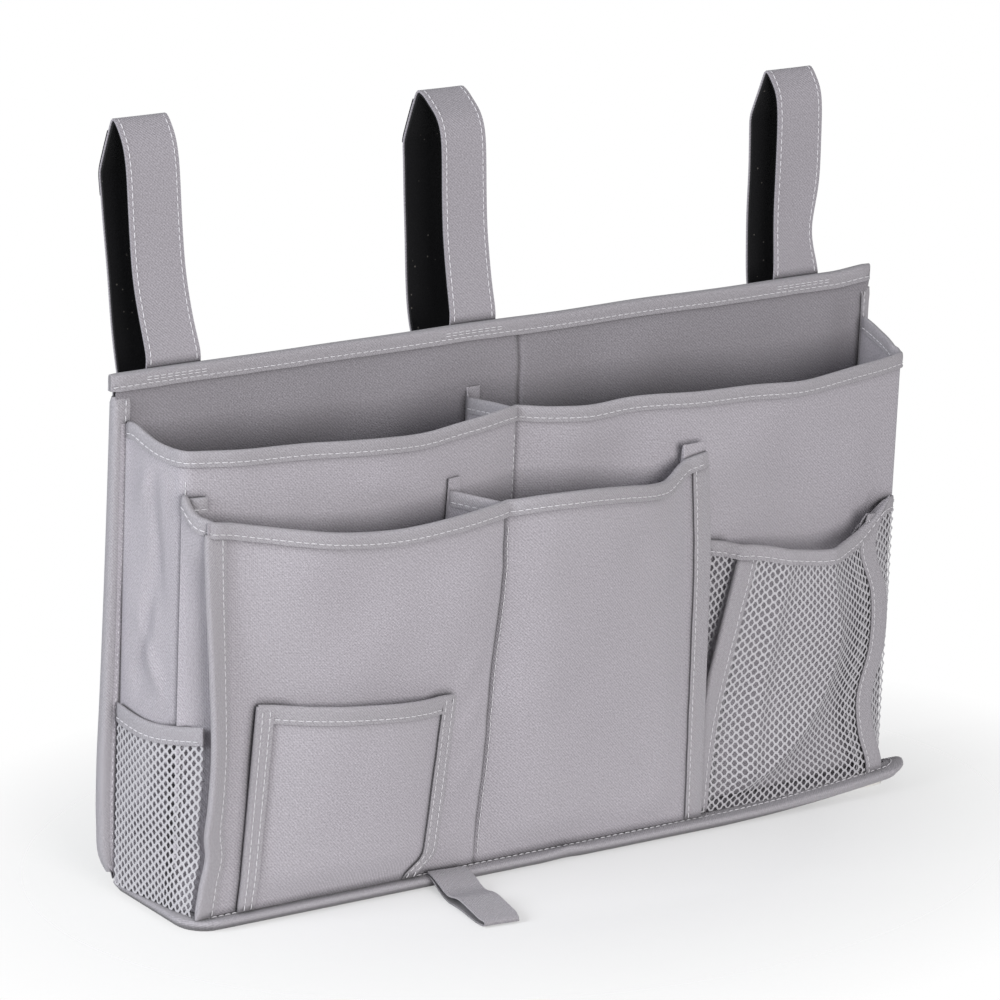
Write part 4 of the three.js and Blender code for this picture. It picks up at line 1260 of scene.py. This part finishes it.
def mesh_right_gusset(u, v):
    """From the rear tier's right corner out to the right flange."""
    z = lerp(WALL_Z, mesh_right_gusset_top(u), v)
    fold_x = MESH_RIGHT + mesh_right_shift(z) - MESH_CORNER_REACH
    bow = math.sin(math.pi * u) * (2.0 + 3.0 * ripple(u * 20, z, 46.0, 30)) * smooth((1 - v) / 0.2)
    y = lerp(REAR_Y - SLOT - GAP, FRONT_FLANGE_Y, u)
    return np.array((lerp(GUSSET_X - GAP, fold_x, u) + bow, y, z))


NET_CELL = (5.2, 5.2)
NET_YARN = 1.05
SIDE_NET_CELL = (5.3, 5.2)
SIDE_NET_YARN = 1.3
SIDE_NET_WIDTH = 66
NET_GUSSET_WIDTH = 36
MOUTH_SAG = 16
MESH_LEFT_CUT = 157.0
MESH_RIGHT_CUT = MESH_TOP - 9


def build_nets():
    net_height = side_net_top(0.5) - WALL_Z
    side_net = (SIDE_NET_WIDTH, net_height, SIDE_NET_CELL, SIDE_NET_YARN)
    net("side_net_yarn", side_net_wall, *side_net, ["side_net"])
    edge_tape("side_net", spaced(0, 1, 0.06), side_net_wall, net_height, seed=14.0, hem=PATCH_HEM)
    width = MESH_RIGHT - MESH_LEFT
    height = MESH_TOP - WALL_Z - MOUTH_SAG
    net("mesh_front_yarn", mesh_wall, width, height, NET_CELL, NET_YARN, ["mesh_front_net"])

    def mouth(v):
        side = [mesh_left_gusset(u, v) for u in spaced(0.02, 0.34, 0.08)]
        front = [mesh_wall(u, v) for u in spaced(0, 1, 0.03)]
        return np.array(side + front)

    nodes = ["mesh_mouth_elastic", "mesh_left_gusset_binding"]
    tape_on_rail("mesh_mouth_tape", line_rail(mouth, height), nodes, OVER_FLANGE, seed=15.0)
    for name, wall in (("left", mesh_left_gusset), ("right", mesh_right_gusset)):
        node = f"mesh_{name}_gusset"
        net(node + "_yarn", wall, NET_GUSSET_WIDTH, height, NET_CELL, NET_YARN, [node])
    edge_tape("mesh_right_gusset", spaced(0.04, 0.9, 0.07), mesh_right_gusset, height, seed=17.0)
    left = ("left", mesh_left_flange, MESH_LEFT_CUT, 1.0)
    right = ("right", mesh_right_flange, MESH_RIGHT_CUT, -1.0)
    flange_tapes("mesh", (left, right), 18)


# Straps

STRAP = 1.2
HOOK_TAPE = 1.4
PILE_INSET = 1.0
HOOK_TAPE_START = 8.0
STRAP_FOOT = 26.0
STRAP_BEND = 6.0
STRAP_FLARE = 1.2
PATCH_DROP = 66.0
HOOK_PATCH_HEIGHT = 56.0
TAIL_SWELL = 12.0
LINE_STEP = 2.5
STRAP_SHIFT = 0.6
CREST_CLEAR = 9.0
BACK_FACE = back_high[1]
BACK_HEIGHT = BACK_TOP + WRAP
FOOT_Y = BACK_FACE + GAP + TAPE + GAP + STRAP / 2
FASTENED_Y = BACK_FACE + 3 * GAP + 2 * HOOK_TAPE + STRAP / 2
# Each strap's place and width, its crest's height above the back, how far back its shoulder, crest and tail
# are, the slope of its bend, where its outer strip ends past the crest, and how far its foot is drawn in
STRAPS = {
    "left": {
        "x": -212.0, "width": 32.0, "rise": 126.0, "shoulder": 25.0, "lean": 40.0, "tail": 33.0,
        "slope": 0.23, "hook": 46.0, "waist": 0.0,
    },
    "middle": {
        "x": -21.8, "width": 28.4, "rise": 122.0, "shoulder": 15.0, "lean": 40.0, "tail": 42.0,
        "slope": 0.23, "hook": 36.0, "waist": 0.0,
    },
    "right": {
        "x": 199.4, "width": 30.8, "rise": 117.0, "shoulder": 4.5, "lean": 18.0, "tail": 26.0,
        "slope": 0.112, "hook": 0.0, "waist": 4.5,
    },
}
STRAP_PLACES = [strap["x"] for strap in STRAPS.values()]


def smooth_line(knots):
    """Points a step apart on a smooth line through side view (y, z) knots."""
    knots = np.array(knots, float)
    ends = (2 * knots[0] - knots[1], 2 * knots[-1] - knots[-2])
    padded = np.concatenate(([ends[0]], knots, [ends[1]]))
    dense = []
    for p0, p1, p2, p3 in zip(padded, padded[1:], padded[2:], padded[3:]):
        for t in np.linspace(0, 1, 40, endpoint=False):
            square = (2 * p0 - 5 * p1 + 4 * p2 - p3) * t ** 2
            cube = (3 * p1 - p0 - 3 * p2 + p3) * t ** 3
            dense.append(0.5 * (2 * p1 + (p2 - p0) * t + square + cube))
    dense = np.array(dense + [knots[-1]])
    reach = running_length(dense)
    return np.array([along_line(dense, reach, at) for at in spaced(0, reach[-1], LINE_STEP)])


def softened(line, rounds):
    """The same line with its sharp corners eased."""
    for _ in range(rounds):
        line = np.concatenate((line[:1], (line[:-2] + 2 * line[1:-1] + line[2:]) / 4, line[-1:]))
    return line


def strap_line(spec):
    """The strap's side view from its foot over the crest to its fastened end."""
    rise, shoulder, lean, tail = (spec[key] for key in ("rise", "shoulder", "lean", "tail"))
    patch_top = BACK_HEIGHT - PATCH_DROP
    patch_bottom = patch_top - HOOK_PATCH_HEIGHT
    crest = (FOOT_Y + lean, BACK_HEIGHT + rise)
    kink = (FOOT_Y + lean + TAIL_SWELL, BACK_HEIGHT + 0.74 * rise)
    riser = [
        (FOOT_Y, BACK_HEIGHT - STRAP_FOOT),
        (FOOT_Y, BACK_HEIGHT),
        (FOOT_Y, BACK_HEIGHT + STRAP_BEND),
        (FOOT_Y + 0.6 * shoulder, BACK_HEIGHT + 0.37 * rise),
        (FOOT_Y + shoulder, BACK_HEIGHT + 0.83 * rise),
        (FOOT_Y + 0.6 * lean + 0.4 * shoulder, BACK_HEIGHT + 0.965 * rise),
        crest,
    ]
    fall = [
        kink,
        (FOOT_Y + 0.55 * (lean + TAIL_SWELL) + 0.45 * tail, BACK_HEIGHT + 0.42 * rise),
        (FOOT_Y + tail, BACK_HEIGHT),
        (FOOT_Y + 0.7 * tail, BACK_HEIGHT - 0.45 * PATCH_DROP),
        (FASTENED_Y + HOOK_TAPE, patch_top - 4),
        (FASTENED_Y, patch_top - 16),
        (FASTENED_Y, patch_bottom - 4),
    ]
    parts = (smooth_line(riser), smooth_line([crest, kink])[1:], smooth_line(fall)[1:])
    return softened(np.concatenate(parts), 2)


def band_surface(line, spec, inset, offset, seed):
    """A strip along a side view line, drawn in from the strap's edges: u across it, v along it."""
    reach = running_length(line)
    width = spec["width"] - inset
    along = unit(np.gradient(line, axis=0))
    normals = np.stack((-along[:, 1], along[:, 0]), axis=1)

    def surface(u, v):
        at = v * reach[-1]
        free = smooth((at - STRAP_FOOT) / 25)
        cup = 0.5 * (2 * u - 1) ** 2 * ripple(at, 0, seed, 50)
        wave = 0.9 * ripple(at, u * 20, seed + 1, 42)
        sway = 0.8 * ripple(at, 0, seed + 2, 90) * smooth(at / 60)
        flare = STRAP_FLARE * u * clamp((STRAP_FOOT + 28 - at) / 28) ** 2
        flare -= spec["waist"] * u * hump(at, STRAP_FOOT + 24, 20)
        normal = unit(along_line(normals, reach, at))
        y, z = along_line(line, reach, at) + normal * (offset + (cup + wave) * free)
        return np.array((spec["x"] + STRAP_SHIFT + (u - 0.5) * width + sway + flare, y, z))

    return surface


def blend_strap(piece):
    """Bakes the piece's placement into its mesh."""
    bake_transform(piece)


def strap_stitch_row(surface, width, side, start):
    """A row of stitches near one edge of a strap, on its outside."""
    u = 0.5 + side * (0.5 - STITCH_INSET / width)
    step = 0.003
    points, normals = [], []
    for v in np.linspace(start, 0.985, 120):
        along = surface(u, v + step) - surface(u, v - step)
        normal = unit(np.cross(np.array((1.0, 0.0, 0.0)), along))
        points.append(surface(u, v) + normal * STRAP / 2)
        normals.append(normal)
    return np.array(points), np.array(normals)


def build_strap(name, spec, seed):
    line = strap_line(spec)
    reach = running_length(line)
    top = np.argmax(line[:, 1])
    across = np.linspace(0, 1, 15)
    outer = band_surface(line, spec, 0, 0, seed)
    nodes = [f"{name}_strap_riser", f"{name}_strap_tail"]
    vs = reach / reach[-1]
    strip = {"body": None, "held": "folded"}
    grey = (shaded_strap_material, "cloth", STRAP)
    black = (pile_material, "hook_and_loop", HOOK_TAPE)
    cloth = cloth_sheet(f"{name}_strap_cloth", across, vs, outer, nodes, *grey, **strip)
    inner = band_surface(line, spec, PILE_INSET, -(STRAP + GAP + HOOK_TAPE) / 2, seed)
    start = (STRAP_FOOT + HOOK_TAPE_START) / reach[-1]
    end = 1 - HOOK_TAPE / reach[-1]
    vs = np.linspace(start, end, int(reach[-1] / LINE_STEP))
    nodes = [f"{name}_strap_riser_tape", f"{name}_strap_tail_tape"]
    pieces = [cloth, cloth_sheet(f"{name}_strap_pile", across, vs, inner, nodes, *black, **strip)]
    if spec["hook"]:
        outside = band_surface(line, spec, PILE_INSET, (STRAP + GAP + HOOK_TAPE) / 2, seed)
        vs = np.linspace(reach[top] + CREST_CLEAR, reach[top] + spec["hook"], 20) / reach[-1]
        pieces.append(cloth_sheet(f"{name}_strap_hook", across, vs, outside, [], *black, **strip))
    rows = [strap_stitch_row(outer, spec["width"], side, STRAP_FOOT / reach[-1]) for side in (-1, 1)]
    pieces.append(stitches(f"{name}_strap_stitches", rows, None))
    for piece in pieces:
        blend_strap(piece)
    low, high = node_box(f"{name}_strap_patch")

    def patch(u, v):
        y = (low[1] + high[1]) / 2 + 0.1 * ripple(u * 28, v * 56, seed + 5, 9)
        return np.array((lerp(low[0], high[0], u), y, lerp(low[2], high[2], v)))

    up = np.linspace(0, 1, 27)
    cloth_sheet(f"{name}_strap_patch_pile", across, up, patch, [f"{name}_strap_patch"], *black)


# Pull tab

TAB_LENGTH = 66.0
TAB_WIDTH = 23.0
TAB_TIP = 1.6
TAB_TAPE = 0.9


def build_tab():
    joint = next(j for j in frame["joints"] if j["name"] == "pull_tab_lift")
    axis = np.array(joint["axis"], float)
    across = -unit(axis)
    outward = unit(np.cross(UP, axis))
    root = np.array(joint["pos_m"], float) / MM
    root[2] = 0.0
    over_lip = BASE_TOP + GAP
    end = TAB_LENGTH - TAB_TIP
    top = profile(
        (0, over_lip + 2.0), (5, over_lip + 1.8), (14, 6.6), (24, 4.2), (36, 6.2), (50, 5.2), (end, 3.4)
    )
    under = profile(
        (0, over_lip), (5, over_lip - 0.1), (14, 3.2), (24, 1.0), (38, 1.3), (54, 0.9), (end, 0.9)
    )
    reach = spaced(0, end, 2)
    upper = [(s, top(s)) for s in reach]
    lower = [(s, under(s)) for s in reach[::-1]]
    centre = (top(end) + under(end)) / 2
    radius = (top(end) - under(end)) / 2
    turns = np.linspace(0, math.pi, 9)[1:-1]
    tip = [(end + radius * math.sin(a), centre + radius * math.cos(a)) for a in turns]
    line = np.array(upper + tip + lower)
    distance = running_length(line)

    def surface(u, v):
        s, z = along_line(line, distance, v * distance[-1])
        skew = 0.5 * ripple(s, u * 10, 51.0, 30) * smooth(s / 20)
        narrow = 1 - 0.1 * smooth((s - end + 5) / 6)
        return root + outward * s + across * ((u - 0.5) * TAB_WIDTH * narrow) + UP * (z + skew)

    us = np.linspace(0, 1, 11)
    vs = np.linspace(0, 1, 80)
    loop = {"thickness": TAB_TAPE, "body": "tab", "held": "folded"}
    cloth_sheet("pull_tab_tape", us, vs, surface, ["pull_tab"], tape_material, "binding_tape", **loop)


build_base()
build_back()
build_rear()
build_front()
build_patch()
build_nets()
for index, (strap_name, strap_spec) in enumerate(STRAPS.items()):
    build_strap(strap_name, strap_spec, 60.0 + 10 * index)
build_tab()
for board in ("base_board", "back_board_left", "back_board_right"):
    frame["nodes"][board].data.materials.clear()
    frame["nodes"][board].data.materials.append(board_material)


# Stage, light and camera

def area_light(name, place, target, size, power, colour):
    data = bpy.data.lights.new(name, "AREA")
    data.shape = "SQUARE"
    data.size = size
    data.energy = power
    data.color = colour
    light = bpy.data.objects.new(name, data)
    light.location = place
    light.rotation_euler = (Vector(target) - Vector(place)).to_track_quat("-Z", "Y").to_euler()
    bpy.context.scene.collection.objects.link(light)


FLOOR_RADIUS = 0.44
FLOOR_STRETCH = 1.35
WORLD_STRENGTH = 0.33


def pale_floor(radius):
    """A round pale floor whose edge fades out into the white surroundings."""
    mesh = bpy.data.meshes.new("floor")
    rim = [(radius * math.cos(a), radius * math.sin(a), 0.0) for a in np.linspace(0, 2 * math.pi, 65)[:-1]]
    mesh.from_pydata(rim, [], [tuple(range(len(rim)))])
    floor = bpy.data.objects.new("floor", mesh)
    bpy.context.scene.collection.objects.link(floor)
    material, tree = new_tree("pale_floor")
    paint = tree.nodes["Principled BSDF"]
    feed(tree, paint, {"Base Color": (0.96, 0.96, 0.96, 1), "Roughness": 1.0, "Specular IOR Level": 0.0})
    clear = tree.nodes.new("ShaderNodeBsdfTransparent")
    scale = (1 / radius, FLOOR_STRETCH / radius, 1)
    place = add(tree, "ShaderNodeMapping", {"Scale": scale, "Vector": object_place(tree)})
    fade = add(tree, "ShaderNodeTexGradient", {"Vector": place.outputs["Vector"]})
    fade.gradient_type = "SPHERICAL"
    ramp = add_ramp(tree, fade.outputs["Fac"], (0.12, (0, 0, 0)), (0.6, (0.6, 0.6, 0.6)))
    ends = {1: clear.outputs["BSDF"], 2: paint.outputs["BSDF"]}
    mix = add(tree, "ShaderNodeMixShader", {"Fac": ramp, **ends})
    feed(tree, tree.nodes["Material Output"], {"Surface": mix.outputs["Shader"]})
    mesh.materials.append(material)


def white_world(strength):
    """Soft even light all round, seen as plain white."""
    world = bpy.data.worlds.new("studio")
    world.use_nodes = True
    tree = world.node_tree
    soft = tree.nodes["Background"]
    feed(tree, soft, {"Color": (0.97, 0.98, 1.0, 1), "Strength": strength})
    white = add(tree, "ShaderNodeBackground", {"Color": (1, 1, 1, 1)})
    path = tree.nodes.new("ShaderNodeLightPath")
    seen = path.outputs["Is Camera Ray"]
    for ray in ("Is Glossy Ray", "Is Transmission Ray"):
        seen = add_math(tree, "MAXIMUM", seen, path.outputs[ray])
    ends = {1: soft.outputs["Background"], 2: white.outputs["Background"]}
    mix = add(tree, "ShaderNodeMixShader", {"Fac": seen, **ends})
    feed(tree, tree.nodes["World Output"], {"Surface": mix.outputs["Shader"]})
    bpy.context.scene.world = world


pale_floor(FLOOR_RADIUS)
white_world(WORLD_STRENGTH)
area_light("key", (-0.45, -2.25, 0.6), (0, 0, 0.17), size=1.1, power=42, colour=(1.0, 0.985, 0.98))
area_light("side", (-2.2, 0.0, 0.95), (0, 0, 0.2), size=1.0, power=38, colour=(0.93, 0.96, 1.0))

# The photo's camera: azimuth, elevation and roll in degrees, distance and focal length in pixels
AZIMUTH = math.radians(-35.013)
ELEVATION = math.radians(17.132)
ROLL = math.radians(-2.396)
DISTANCE = 3.118
TARGET = Vector((-0.0267, 0.001, 0.20018))
FOCAL_PIXELS = 5744.7
IMAGE_WIDTH = 1000
SENSOR = 36.0
behind = Vector((
    math.sin(AZIMUTH) * math.cos(ELEVATION),
    -math.cos(AZIMUTH) * math.cos(ELEVATION),
    math.sin(ELEVATION),
))
level = Vector((math.cos(AZIMUTH), math.sin(AZIMUTH), 0))
raised = behind.cross(level)
right_axis = level * math.cos(ROLL) - raised * math.sin(ROLL)
up_axis = level * math.sin(ROLL) + raised * math.cos(ROLL)
camera = bpy.data.objects.new("camera", bpy.data.cameras.new("camera"))
camera.data.lens = FOCAL_PIXELS / IMAGE_WIDTH * SENSOR
camera.data.sensor_width = SENSOR
camera.data.clip_end = 40
turned = Matrix((right_axis, up_axis, behind)).transposed().to_4x4()
camera.matrix_world = Matrix.Translation(TARGET + behind * DISTANCE) @ turned
bpy.context.scene.collection.objects.link(camera)
bpy.context.scene.camera = camera
bpy.context.scene.view_settings.view_transform = "Standard"
